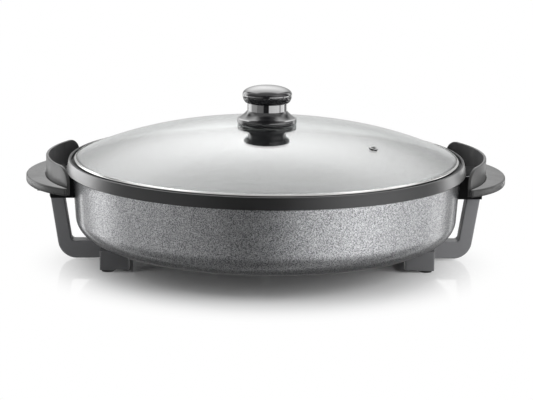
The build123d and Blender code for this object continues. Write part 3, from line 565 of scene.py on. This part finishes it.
class Finish:
    """One material with its Principled shader, object coordinates and a few short ways to wire it."""

    def __init__(self, name, colour, roughness, metallic=0.0):
        self.material = bpy.data.materials.new(name)
        self.material.use_nodes = True
        self.tree = self.material.node_tree
        self.shader = self.tree.nodes["Principled BSDF"]
        self.set(Base_Color=(*colour, 1), Roughness=roughness, Metallic=metallic)
        self.place = self.tree.nodes.new("ShaderNodeTexCoord").outputs["Object"]
        self.material.diffuse_color = (*colour, 1)

    def set(self, **values):
        """Sets or links inputs of the Principled shader."""
        feed(self.tree, self.shader, **values)

    def use(self, group, **values):
        """Places a node group on the object's coordinates, as its outputs."""
        node = self.tree.nodes.new("ShaderNodeGroup")
        node.node_tree = bpy.data.node_groups[group]
        return feed(self.tree, node, Vector=self.place, **values).outputs

    def colours(self, factor, first, second):
        """Varies the colour from a first to a second one."""
        mix = self.tree.nodes.new("ShaderNodeMix")
        mix.data_type = "RGBA"
        feed(self.tree, mix, Factor=factor, A=(*first, 1), B=(*second, 1))
        self.set(Base_Color=mix.outputs["Result"])

    def roughness(self, factor, low, high):
        """Varies the roughness between two values."""
        self.set(Roughness=remap(self.tree, factor, 0.0, 1.0, low, high))

    def bump(self, height, depth, strength):
        """Raises the surface by a pattern."""
        node = self.tree.nodes.new("ShaderNodeBump")
        feed(self.tree, node, Strength=strength, Distance=depth, Height=height)
        self.set(Normal=node.outputs["Normal"])

    def instead(self, factor, shader):
        """Shows another shader in place of the finish by a factor from 0 to 1."""
        mix = self.tree.nodes.new("ShaderNodeMixShader")
        output = self.tree.nodes["Material Output"].inputs["Surface"]
        self.tree.links.new(factor, mix.inputs["Fac"])
        self.tree.links.new(output.links[0].from_socket, mix.inputs[1])
        self.tree.links.new(shader.outputs[0], mix.inputs[2])
        self.tree.links.new(mix.outputs[0], output)


# ---------- finishes
def shade(colour, factor):
    """A colour made darker or lighter by a factor."""
    return tuple(factor * part for part in colour)


def hammered_enamel(settings):
    finish = Finish("hammered_enamel", settings.coat_dark, roughness=0.34, metallic=0.85)
    finish.set(Coat_Weight=1.0, Coat_Roughness=0.08, Coat_IOR=1.5)
    coat = finish.use("Hammered Coat", Fleck_Size=settings.fleck_size)
    finish.colours(coat["Flecks"], settings.coat_dark, settings.coat_light)
    finish.roughness(coat["Flecks"], 0.38, 0.30)
    finish.bump(coat["Height"], 0.08 * MM, 0.4)


def satin_enamel(settings):
    finish = Finish("satin_enamel", settings.rim_colour, roughness=0.36, metallic=0.9)
    finish.set(Coat_Weight=1.0, Coat_Roughness=0.22)
    grain = finish.use("Fine Grain", Grain_Size=0.5 * MM)
    finish.colours(grain["Grain"], settings.rim_colour, shade(settings.rim_colour, 1.25))
    finish.roughness(grain["Patches"], 0.32, 0.40)
    finish.bump(grain["Grain"], 0.02 * MM, 0.3)


def nonstick_coat(settings):
    finish = Finish("nonstick_coat", settings.nonstick_colour, roughness=0.4)
    grain = finish.use("Fine Grain", Grain_Size=0.9 * MM)
    finish.colours(grain["Grain"], settings.nonstick_colour, shade(settings.nonstick_colour, 1.4))
    finish.roughness(grain["Patches"], 0.34, 0.48)
    finish.bump(grain["Grain"], 0.01 * MM, 0.06)


def clear_glass(settings):
    finish = Finish("clear_glass", settings.glass_tint, roughness=0.0)
    finish.set(Transmission_Weight=1.0, IOR=1.5)
    smears = finish.use("Fine Grain", Grain_Size=6 * MM)
    finish.roughness(smears["Patches"], 0.0, 0.03)
    path = finish.tree.nodes.new("ShaderNodeLightPath")
    clear = finish.tree.nodes.new("ShaderNodeBsdfTransparent")
    clear.inputs["Color"].default_value = (*settings.glass_tint, 1)
    finish.instead(path.outputs["Is Shadow Ray"], clear)


def turned_metal(name, colour, roughness, pitch):
    finish = Finish(name, colour, roughness, metallic=1.0)
    marks = finish.use("Turned Marks", Pitch=pitch)
    finish.colours(marks["Marks"], shade(colour, 0.86), colour)
    finish.roughness(marks["Marks"], 0.8 * roughness, 1.25 * roughness)
    finish.bump(marks["Marks"], 0.01 * MM, 0.5)


def polished_knob(settings):
    finish = Finish("polished_knob", settings.knob_colour, roughness=0.06)
    finish.set(Coat_Weight=0.3, Coat_Roughness=0.03, Coat_IOR=1.6, IOR=1.7)
    grain = finish.use("Fine Grain", Grain_Size=3 * MM)
    finish.colours(grain["Patches"], settings.knob_colour, shade(settings.knob_colour, 1.6))
    finish.roughness(grain["Patches"], 0.05, 0.09)


def moulded_plastic(name, colour, roughness, grain_size=0.5 * MM, shine=0.5):
    finish = Finish(name, colour, roughness)
    finish.set(Specular_IOR_Level=shine)
    grain = finish.use("Fine Grain", Grain_Size=grain_size)
    finish.colours(grain["Grain"], shade(colour, 0.8), shade(colour, 1.2))
    finish.roughness(grain["Patches"], roughness - 0.05, roughness + 0.06)
    finish.bump(grain["Grain"], 0.05 * MM, 0.35)


def rolled_sheet(name, colour, roughness, metallic):
    finish = Finish(name, colour, roughness, metallic)
    grain = finish.use("Fine Grain", Grain_Size=1.2 * MM)
    finish.colours(grain["Patches"], shade(colour, 0.8), colour)
    finish.roughness(grain["Grain"], 0.8 * roughness, 1.3 * roughness)
    finish.bump(grain["Grain"], 0.02 * MM, 0.3)


def heat_tinted_steel():
    finish = Finish("heat_tinted_steel", (0.3, 0.27, 0.24), roughness=0.35, metallic=1.0)
    grain = finish.use("Fine Grain", Grain_Size=2 * MM)
    finish.colours(grain["Patches"], (0.32, 0.25, 0.2), (0.26, 0.27, 0.31))
    finish.roughness(grain["Grain"], 0.28, 0.45)


def make_finishes(scene):
    """Makes every material of the object."""
    for build in (hammer_group, grain_group, turned_group):
        build()
    pan, lid, handles = scene.skillet_pan, scene.skillet_lid, scene.skillet_handles
    hammered_enamel(pan)
    satin_enamel(pan)
    nonstick_coat(pan)
    moulded_plastic("matt_ledge", pan.nonstick_colour, 0.7, 0.8 * MM)
    clear_glass(lid)
    polished_knob(lid)
    heat_tinted_steel()
    turned_metal("band_steel", lid.band_colour, 0.2, 0.5 * MM)
    turned_metal("eyelet_steel", (0.2, 0.2, 0.2), 0.22, 0.3 * MM)
    turned_metal("screw_zinc", (0.5, 0.5, 0.5), 0.3, 0.3 * MM)
    turned_metal("contact_nickel", (0.62, 0.61, 0.58), 0.2, 0.3 * MM)
    turned_metal("insert_brass", (0.66, 0.46, 0.2), 0.28, 0.3 * MM)
    # Painted shade: the mounting blocks are half as bright as the other mouldings, standing in for the shadow
    # in the gap under the rim.
    moulded_plastic("block_plastic_painted_shade", shade(handles.plastic_colour, 0.5), 0.75, shine=0.04)
    moulded_plastic("strap_plastic", handles.strap_colour, 0.4, shine=0.2)
    moulded_plastic("rail_plastic", shade(handles.strap_colour, 0.65), 0.4, shine=0.2)
    moulded_plastic("grip_plastic", handles.plate_colour, 0.32, 0.4 * MM, shine=0.25)
    moulded_plastic("guard_plastic", handles.plate_colour, 0.38, 0.4 * MM, shine=0.35)
    # Painted shade: the guards' inward faces get a darker copy of the guard plastic, standing in for the
    # shadow between guard and rim.
    moulded_plastic("guard_inside_painted_shade", shade(handles.plastic_colour, 0.5), 0.62, 0.8 * MM)
    moulded_plastic("pad_rubber", (0.02, 0.02, 0.02), 0.7, 0.8 * MM)
    moulded_plastic("seal_rubber", (0.03, 0.03, 0.03), 0.55, 0.7 * MM)
    moulded_plastic("pin_ceramic", (0.7, 0.66, 0.58), 0.6, 0.3 * MM)
    rolled_sheet("cover_enamel", (0.16, 0.16, 0.165), 0.4, metallic=0.4)
    rolled_sheet("reflector_sheet", (0.75, 0.75, 0.75), 0.3, metallic=1.0)


NODE_FINISHES = {
    "heat_tinted_steel": ("heating_element",),
    "contact_nickel": ("inlet_pins", "probe_guide", "earth_clip", "centre_spacer"),
    "pin_ceramic": ("pin_insulators",),
    "screw_zinc": (
        "inlet_screws", "centre_washer", "centre_screw", "foot_screws", "strap_screws", "head_screws",
        "block_screws", "grip_screws", "knob_screw",
    ),
    "reflector_sheet": ("heat_reflector",),
    "insert_brass": ("knob_insert",),
    "band_steel": ("knob_washer",),
    "seal_rubber": ("knob_seal",),
    "pad_rubber": ("foot_pads",),
}
PAN_FINISHES = ("hammered_enamel", "satin_enamel", "nonstick_coat", "matt_ledge")
HANDLE_FINISHES = {
    "side_strap": "strap_plastic",
    "mounting_block": "block_plastic_painted_shade",
    "guard": "guard_plastic",
    "grip": "grip_plastic",
}


def finish_of(name):
    """A finish by name, made with all the others the first time one is asked for."""
    if name not in bpy.data.materials:
        make_finishes(bpy.context.scene)
    return bpy.data.materials[name]


# ---------- pieces
class SKILLET_OT_cast_pan(bpy.types.Operator):
    """Build the cast pan: rim, hammered wall, foot ring, heater pocket and non-stick inside"""

    bl_idname = "skillet.cast_pan"
    bl_label = "Cast Pan"

    def execute(self, context):
        settings = context.scene.skillet_pan
        heel_radius = wall_outside(HEEL_TOP) - HEEL_WIDTH
        pocket_radius = heel_radius - FOOT_RING_WIDTH
        inner_width = wall_outside(HEEL_TOP) - WALL_THICKNESS - heel_radius
        rings = [pocket_radius * share for share in FLOOR_RINGS]
        profile = [(0, POCKET_TOP)] + [(r, POCKET_TOP) for r in rings]
        profile += [(pocket_radius, POCKET_TOP), (pocket_radius, PAN_UNDERSIDE)]
        profile += quarter((heel_radius, HEEL_TOP), HEEL_WIDTH, HEEL_HEIGHT, -90, 0, HEEL_STEPS)
        profile += [(wall_outside(z), z) for z in evenly(HEEL_TOP, RIM_BOTTOM, WALL_ROWS)[1:]]
        profile += [
            (RIM_RADIUS, RIM_BOTTOM),
            (RIM_RADIUS - RIM_LEAN, RIM_TOP),
            (RECESS_RADIUS, RIM_TOP),
            (RECESS_RADIUS, RECESS_FLOOR),
            (LEDGE_RADIUS, RECESS_FLOOR),
        ]
        inner_heel = HEEL_TOP - INSIDE_FLOOR
        profile += quarter((heel_radius, HEEL_TOP), inner_width, inner_heel, 0, -90, INSIDE_STEPS)
        profile += [(r, INSIDE_FLOOR) for r in reversed(rings)] + [(0, INSIDE_FLOOR)]
        bm = spun(
            profile, settings.facets, closed=False,
            softened=[
                ((RIM_RADIUS - RIM_LEAN, RIM_TOP), PAN_ROUNDING),
                ((RIM_RADIUS, RIM_BOTTOM), PAN_ROUNDING),
                ((RECESS_RADIUS, RIM_TOP), RECESS_ROUNDING),
                ((LEDGE_RADIUS, RECESS_FLOOR), LEDGE_ROUNDING),
                ((pocket_radius, PAN_UNDERSIDE), PAN_ROUNDING),
            ],
        )
        self.colour_zones(bm)
        self.add_castings(bm)
        finish_piece(
            bm, "cast_pan", "cooker", PAN_FINISHES, replaces=("pan_body",), sharp=40, flat=True
        )
        return {"FINISHED"}

    def colour_zones(self, bm):
        """Hammered coat outside, satin on the rim's side, matt on its top and ledge, non-stick inside."""
        top_edge = RIM_RADIUS - RIM_LEAN - SATIN_LAP
        for face in bm.faces:
            centre = face.calc_center_median()
            radius = centre.xy.length
            inwards = face.normal.xy.dot(centre.xy) < -SAME_PLACE * radius
            if centre.z > RIM_BOTTOM - ZONE_LAP and radius > LEDGE_RADIUS - LEDGE_LAP:
                on_top = radius < top_edge and centre.z > RECESS_FLOOR - LEDGE_ROUNDING
                finish = "matt_ledge" if on_top and face.normal.z >= 0 else "satin_enamel"
                face.material_index = PAN_FINISHES.index(finish)
            elif centre.z > INSIDE_FLOOR - ZONE_LAP and (inwards or face.normal.z > FACES_UP):
                face.material_index = PAN_FINISHES.index("nonstick_coat")

    def add_castings(self, bm):
        """The ring rib over the element, the probe boss, the screw bosses and the handle lugs."""
        before = set(bm.faces)
        rib = [
            (RIB_RADIUS - RIB_HALF, POCKET_TOP),
            (RIB_RADIUS - RIB_HALF, RIB_BOTTOM),
            (RIB_RADIUS + RIB_HALF, RIB_BOTTOM),
            (RIB_RADIUS + RIB_HALF, POCKET_TOP),
        ]
        half_gap = asin(RIB_GAP_SIDE / RIB_RADIUS)
        verts = [bm.verts.new((0, r, z)) for r, z in rib]
        edges = [bm.edges.new(pair) for pair in zip(verts, verts[1:] + verts[:1])]
        bmesh.ops.rotate(bm, cent=(0, 0, 0), matrix=Matrix.Rotation(half_gap, 3, "Z"), verts=verts)
        first = bmesh.ops.contextual_create(bm, geom=edges)["faces"]
        bmesh.ops.spin(
            bm, geom=first, axis=(0, 0, 1), cent=(0, 0, 0), angle=2 * (pi - half_gap), steps=RIB_STEPS
        )
        bmesh.ops.recalc_face_normals(bm, faces=[f for f in bm.faces if f not in before])
        add_box(
            bm, (-RIB_HALF, PROBE_BOSS_END - PROBE_BOSS_LENGTH, PROBE_BOSS_BOTTOM),
            (RIB_HALF, PROBE_BOSS_END, POCKET_TOP),
        )
        for side in (-1, 1):
            for end in (-1, 1):
                place = (side * FOOT_SCREW.x, end * FOOT_SCREW.y)
                add_stud(bm, place, BOSS_RADIUS, PAN_UNDERSIDE - BOSS_HEIGHT, PAN_UNDERSIDE)
                near, far = sorted((side * LUG_START, side * LUG_END))
                y = end * LUG_SPREAD
                add_box(bm, (near, y - LUG_HALF, LUG_TOP - LUG_HEIGHT), (far, y + LUG_HALF, LUG_TOP))


class SKILLET_OT_glass_dome(bpy.types.Operator):
    """Build the domed glass with its knob hole and vent hole"""

    bl_idname = "skillet.glass_dome"
    bl_label = "Glass Dome"

    def execute(self, context):
        settings = context.scene.skillet_lid
        radii = evenly(KNOB_HOLE, GLASS_RADIUS, settings.dome_rings)
        top = [(r, dome(r)) for r in radii]
        under = [(r, dome(r) - GLASS_THICKNESS) for r in reversed(radii)]
        bm = spun(
            top + under, settings.facets,
            softened=[
                ((GLASS_RADIUS, dome(GLASS_RADIUS)), GLASS_ROUNDING),
                ((GLASS_RADIUS, dome(GLASS_RADIUS) - GLASS_THICKNESS), GLASS_ROUNDING),
            ],
        )
        self.open_vent(bm)
        finish_piece(
            bm, "glass_dome", "lid", ["clear_glass"], replaces=("lid_glass",), sharp=50
        )
        return {"FINISHED"}

    def open_vent(self, bm):
        """Drills the vent: the faces about it go, and the two holes are joined by a round wall."""
        loops = []
        for drop in (0.0, GLASS_THICKNESS):
            place = Vector((*VENT_AT, dome(VENT_AT.length) - drop))
            near = min(bm.verts, key=lambda v: (v.co - place).length)
            around = near.link_faces[:]
            edges = {e for f in around for e in f.edges if near not in e.verts}
            bmesh.ops.delete(bm, geom=around, context="FACES")
            for vert in {v for e in edges for v in e.verts}:
                spot = VENT_AT + (vert.co.xy - VENT_AT).normalized() * VENT_HOLE
                vert.co = (*spot, dome(spot.length) - drop)
            loops += edges
        bmesh.ops.bridge_loops(bm, edges=loops)
        bmesh.ops.delete(bm, geom=[v for v in bm.verts if not v.link_faces], context="VERTS")
        bmesh.ops.recalc_face_normals(bm, faces=bm.faces[:])


class SKILLET_OT_lid_band(bpy.types.Operator):
    """Build the steel band that is rolled round the glass edge"""

    bl_idname = "skillet.lid_band"
    bl_label = "Lid Band"

    def execute(self, context):
        settings = context.scene.skillet_lid
        inner = BAND_OUTER - BAND_THICKNESS
        lip, foot = GLASS_RADIUS - BAND_LIP, GLASS_RADIUS - BAND_FOOT
        under_glass = GLASS_EDGE - GLASS_THICKNESS - BAND_GAP
        edge = GLASS_EDGE - BAND_DROP
        lip_under = dome(lip) + BAND_GAP
        profile = [
            (BAND_OUTER, RECESS_FLOOR),
            (BAND_OUTER, edge - BAND_THICKNESS),
            (BAND_FLANGE, edge - BAND_THICKNESS),
            (BAND_FLANGE, edge),
            (lip, lip_under + BAND_THICKNESS),
            (lip, lip_under),
            (inner, GLASS_EDGE + BAND_GAP),
            (inner, under_glass),
            (foot, under_glass),
            (foot, RECESS_FLOOR),
        ]
        bm = spun(
            profile, settings.facets,
            softened=[
                ((BAND_FLANGE, edge), BAND_FLANGE_ROUNDING),
                ((lip, lip_under + BAND_THICKNESS), BAND_LIP_ROUNDING),
                ((BAND_OUTER, RECESS_FLOOR), BAND_FOOT_ROUNDING),
            ],
        )
        finish_piece(
            bm, "rolled_band", "lid", ["band_steel"],
            replaces=("lid_band",), sharp=60, flat=True,
        )
        return {"FINISHED"}


class SKILLET_OT_vent_eyelet(bpy.types.Operator):
    """Build the small flanged steel eyelet in the glass"""

    bl_idname = "skillet.vent_eyelet"
    bl_label = "Vent Eyelet"

    def execute(self, context):
        lift, outer = VENT_FLANGE_HEIGHT, VENT_BORE + VENT_WALL
        bulge = lift / 2
        reach = GLASS_THICKNESS + lift
        profile = [(VENT_BORE, -reach), (outer, -reach), (outer, VENT_SEAT)]
        profile += quarter((VENT_FLANGE - bulge, bulge + VENT_SEAT), bulge, bulge, -90, 90, VENT_STEPS)
        profile += [(VENT_BORE + VENT_CHAMFER, lift + VENT_SEAT), (VENT_BORE, VENT_CHAMFER)]
        bm = spun(profile, VENT_FACETS)
        out, slope = VENT_AT.normalized(), dome_slope(VENT_AT.length)
        normal = Vector((out.x * slope, out.y * slope, 1)).normalized()
        turn = Vector((0, 0, 1)).rotation_difference(normal).to_matrix()
        bmesh.ops.rotate(bm, cent=(0, 0, 0), matrix=turn, verts=bm.verts[:])
        bmesh.ops.translate(bm, vec=(*VENT_AT, dome(VENT_AT.length)), verts=bm.verts[:])
        finish_piece(bm, "steam_eyelet", "lid", ["eyelet_steel"], replaces=("vent_eyelet",))
        return {"FINISHED"}


class SKILLET_OT_knob(bpy.types.Operator):
    """Build the polished knob: ring, flared skirt, waisted neck and crowned cap"""

    bl_idname = "skillet.knob"
    bl_label = "Knob"

    def execute(self, context):
        base, neck = KNOB_BASE, KNOB_NECK_RADIUS
        bulge, half_ring = KNOB_RING_BULGE, KNOB_RING_HEIGHT / 2
        ring_centre = (KNOB_RING_RADIUS - bulge, base + half_ring)
        low, high, widest = base + KNOB_NECK_LOW, base + KNOB_NECK_HIGH, base + KNOB_CAP_WIDEST
        side = KNOB_CAP_RADIUS - neck
        crown = KNOB_HEIGHT - KNOB_CAP_WIDEST
        profile = [(KNOB_BORE, base)]
        profile += quarter(
            ring_centre, bulge, half_ring, -90, KNOB_RING_END, KNOB_RING_STEPS, KNOB_RING_POWER
        )
        start = profile[-1]
        for share, sag in KNOB_SKIRT:
            r = start[0] + (neck - start[0]) * share - sag * MM
            profile.append((r, start[1] + (low - start[1]) * share - sag * MM / 2))
        for share in evenly(0, 1, KNOB_NECK_STEPS):
            profile.append((neck - KNOB_NECK_WAIST * sin(pi * share), low + (high - low) * share))
        profile += quarter((neck, widest), side, widest - high, KNOB_FLARE_START, 0, KNOB_FLARE_STEPS)
        cap = quarter((0, widest), KNOB_CAP_RADIUS, crown, 0, 90, KNOB_CROWN_STEPS, KNOB_CROWN_POWER)
        profile += cap[1:]
        profile += [(0, base + KNOB_BORE_DEPTH), (KNOB_BORE, base + KNOB_BORE_DEPTH)]
        bm = spun(profile, KNOB_FACETS)
        finish_piece(
            bm, "turned_knob", "lid", ["polished_knob"], replaces=("knob",), sharp=32
        )
        return {"FINISHED"}


class SKILLET_OT_handles(bpy.types.Operator):
    """Dress the side straps, mounting blocks, heat guards and grips on both sides"""

    bl_idname = "skillet.handles"
    bl_label = "Handles"

    def execute(self, context):
        softness = context.scene.skillet_handles.edge_softness
        for side in ("left", "right"):
            for part, finish in HANDLE_FINISHES.items():
                node = f"{side}_{part}"
                # The guards' inward faces take a darker finish as painted shade.
                piece = merged_copy(
                    node, f"{node}_moulding", "cooker", finish, softness,
                    inside="guard_inside_painted_shade" if part == "guard" else None,
                )
                piece.visible_glossy = part != "guard"
        return {"FINISHED"}


class SKILLET_OT_underside(bpy.types.Operator):
    """Dress the foot rails, the bottom cover, the inlet and every small fitting"""

    bl_idname = "skillet.underside"
    bl_label = "Underside"

    def execute(self, context):
        softness = context.scene.skillet_handles.edge_softness
        for node in ("left_foot_rail", "right_foot_rail", "inlet_shroud"):
            merged_copy(node, f"{node}_moulding", "cooker", "rail_plastic", softness)
        merged_copy("bottom_cover", "pressed_cover", "cooker", "cover_enamel")
        for finish, nodes in NODE_FINISHES.items():
            for node in nodes:
                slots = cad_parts[node].data.materials
                slots.clear()
                slots.append(finish_of(finish))
        return {"FINISHED"}


# ---------- studio
def seen_rays(tree):
    """1 for rays that look at a surface directly, in a mirror or through glass, as an output socket."""
    path = tree.nodes.new("ShaderNodeLightPath")
    looked = math_node(tree, "MAXIMUM", path.outputs["Is Camera Ray"], path.outputs["Is Glossy Ray"])
    return math_node(tree, "MAXIMUM", looked, path.outputs["Is Transmission Ray"])


class SKILLET_OT_studio(bpy.types.Operator):
    """Set up the pale floor, the room light, the softboxes and the camera"""

    bl_idname = "skillet.studio"
    bl_label = "Studio"

    def execute(self, context):
        settings = context.scene.skillet_studio
        self.floor(settings)
        self.room(context.scene, settings)
        for softbox in SOFTBOXES:
            self.softbox(*softbox)
        self.camera(context.scene, settings)
        context.scene.view_settings.view_transform = "Standard"
        return {"FINISHED"}

    def floor(self, settings):
        """A glossy pale floor that fades into the white room, and is clear from below."""
        bm = bmesh.new()
        bmesh.ops.create_circle(bm, cap_ends=True, segments=FLOOR_SIDES, radius=FLOOR_RADIUS)
        mesh = bpy.data.meshes.new("floor")
        bm.to_mesh(mesh)
        bm.free()
        floor = bpy.data.objects.new("floor", mesh)
        bpy.context.scene.collection.objects.link(floor)
        finish = Finish("floor_gloss", settings.floor_colour, roughness=0.06)
        tree = finish.tree
        middle = tree.nodes.new("ShaderNodeVectorMath")
        middle.operation = "LENGTH"
        tree.links.new(finish.place, middle.inputs[0])
        away = remap(tree, middle.outputs["Value"], *FLOOR_FADE)
        white = tree.nodes.new("ShaderNodeEmission")
        finish.instead(product(tree, away, seen_rays(tree)), white)
        path = tree.nodes.new("ShaderNodeLightPath")
        below = tree.nodes.new("ShaderNodeNewGeometry").outputs["Backfacing"]
        hidden = math_node(tree, "MAXIMUM", path.outputs["Is Glossy Ray"], below)
        finish.instead(hidden, tree.nodes.new("ShaderNodeBsdfTransparent"))
        mesh.materials.append(finish.material)

    def room(self, scene, settings):
        """White where it is looked at, boxes of light in mirrors, and an even fill on matt surfaces."""
        world = bpy.data.worlds.new("room")
        scene.world = world
        world.use_nodes = True
        world.cycles.sampling_method = "NONE"
        tree = world.node_tree
        path = tree.nodes.new("ShaderNodeLightPath")
        mirrored = product(tree, path.outputs["Is Glossy Ray"], self.mirrored_room(tree))
        plain = math_node(tree, "MAXIMUM", path.outputs["Is Camera Ray"], path.outputs["Is Transmission Ray"])
        seen = math_node(tree, "MAXIMUM", plain, mirrored)
        unseen = math_node(tree, "SUBTRACT", 1.0, seen_rays(tree))
        fill = product(tree, unseen, settings.fill_level)
        background = tree.nodes["Background"]
        background.inputs["Color"].default_value = (1, 1, 1, 1)
        tree.links.new(math_node(tree, "ADD", seen, fill), background.inputs["Strength"])

    def mirrored_room(self, tree):
        """Brightness of the room in mirrors: boxes of light in a dark front, and a pale sky behind."""
        way = tree.nodes.new("ShaderNodeSeparateXYZ")
        tree.links.new(tree.nodes.new("ShaderNodeTexCoord").outputs["Generated"], way.inputs[0])
        across, depth, height = way.outputs
        compass = math_node(tree, "ARCTAN2", across, product(tree, depth, -1.0))
        aside = math_node(tree, "ABSOLUTE", across)
        front = remap(tree, height, *CEILING)
        for heights, boxes in (
            (remap(tree, height, *PANELS_TOP), REFLECTED_PANELS),
            (self.between(tree, height, STRIPES_FOOT, STRIPES_TOP), REFLECTED_STRIPES),
            (self.between(tree, height, WINDOWS_FOOT, WINDOWS_TOP), REFLECTED_WINDOWS),
        ):
            for start, end, softness, level in boxes:
                rise = (radians(start - softness), radians(start + softness), 0.0, level)
                fall = (radians(end - softness), radians(end + softness), 1.0, 0.0)
                box = product(tree, heights, self.between(tree, compass, rise, fall))
                front = math_node(tree, "ADD", front, box)
        slant = math_node(tree, "SUBTRACT", height, product(tree, aside, SKY_SLANT))
        sky = remap(tree, slant, *SKY_RISE)
        for change in (SKY_FOOT, SKY_TOP):
            sky = product(tree, sky, remap(tree, height, *change))
        behind = product(tree, remap(tree, aside, *SKY_SIDES), remap(tree, depth, *SKY_DEPTH))
        ahead = math_node(tree, "SUBTRACT", 1.0, behind)
        whole = math_node(tree, "ADD", product(tree, sky, behind), product(tree, front, ahead))
        return product(tree, whole, remap(tree, height, *GROUND))

    def between(self, tree, value, rise, fall):
        """A level that a value reaches over one range and leaves over another, as an output socket."""
        return product(tree, remap(tree, value, *rise), remap(tree, value, *fall))

    def softbox(self, name, place, target, width, height, watts):
        """A rectangular area light that faces a point."""
        light = bpy.data.lights.new(name, "AREA")
        light.shape = "RECTANGLE"
        light.size = width
        light.size_y = height
        light.energy = watts
        lamp = bpy.data.objects.new(name, light)
        lamp.location = place
        lamp.rotation_euler = (Vector(target) - Vector(place)).to_track_quat("-Z", "Y").to_euler()
        lamp.visible_camera = False
        lamp.visible_transmission = False
        lamp.visible_glossy = False
        bpy.context.scene.collection.objects.link(lamp)

    def camera(self, scene, settings):
        """A long lens a little left of the front, just above the rim."""
        data = bpy.data.cameras.new("camera")
        data.sensor_width = SENSOR_WIDTH
        data.lens = settings.focal_pixels / PICTURE_WIDTH * data.sensor_width
        camera = bpy.data.objects.new("camera", data)
        scene.collection.objects.link(camera)
        azimuth, elevation = settings.camera_azimuth, settings.camera_elevation
        way = Vector((sin(azimuth) * cos(elevation), -cos(azimuth) * cos(elevation), sin(elevation)))
        camera.location = Vector((0, 0, RIM_TOP)) + way * settings.camera_distance
        aim = Vector((AIM_SIDE, 0, settings.aim_height)) - camera.location
        turned = aim.to_track_quat("-Z", "Y").to_matrix() @ Matrix.Rotation(settings.camera_roll, 3, "Z")
        camera.rotation_euler = turned.to_euler()
        scene.camera = camera


# ---------- panel and start
class SKILLET_PT_sidebar(bpy.types.Panel):
    bl_idname = "SKILLET_PT_sidebar"
    bl_label = "Electric Skillet"
    bl_space_type = "VIEW_3D"
    bl_region_type = "UI"
    bl_category = "Skillet"

    def draw(self, context):
        for title, (name, _) in SETTINGS.items():
            box = self.layout.box()
            box.label(text=title)
            settings = getattr(context.scene, name)
            for prop in settings.bl_rna.properties:
                if prop.identifier not in {"rna_type", "name"}:
                    box.prop(settings, prop.identifier)
        for operator in OPERATORS:
            self.layout.operator(operator.bl_idname)


SETTINGS = {
    "Pan": ("skillet_pan", CastPanSettings),
    "Lid": ("skillet_lid", GlassLidSettings),
    "Handles": ("skillet_handles", HandleSettings),
    "Studio": ("skillet_studio", StudioSettings),
}
OPERATORS = (
    SKILLET_OT_cast_pan,
    SKILLET_OT_glass_dome,
    SKILLET_OT_lid_band,
    SKILLET_OT_vent_eyelet,
    SKILLET_OT_knob,
    SKILLET_OT_handles,
    SKILLET_OT_underside,
    SKILLET_OT_studio,
)


def register():
    for name, group in SETTINGS.values():
        bpy.utils.register_class(group)
        setattr(bpy.types.Scene, name, PointerProperty(type=group))
    for item in (*OPERATORS, SKILLET_PT_sidebar):
        bpy.utils.register_class(item)


def unregister():
    for item in reversed((*OPERATORS, SKILLET_PT_sidebar)):
        bpy.utils.unregister_class(item)
    for name, group in reversed(SETTINGS.values()):
        delattr(bpy.types.Scene, name)
        bpy.utils.unregister_class(group)


def main():
    register()
    bpy.ops.skillet.cast_pan()
    bpy.ops.skillet.glass_dome()
    bpy.ops.skillet.lid_band()
    bpy.ops.skillet.vent_eyelet()
    bpy.ops.skillet.knob()
    bpy.ops.skillet.handles()
    bpy.ops.skillet.underside()
    bpy.ops.skillet.studio()


if __name__ == "__main__":
    main()
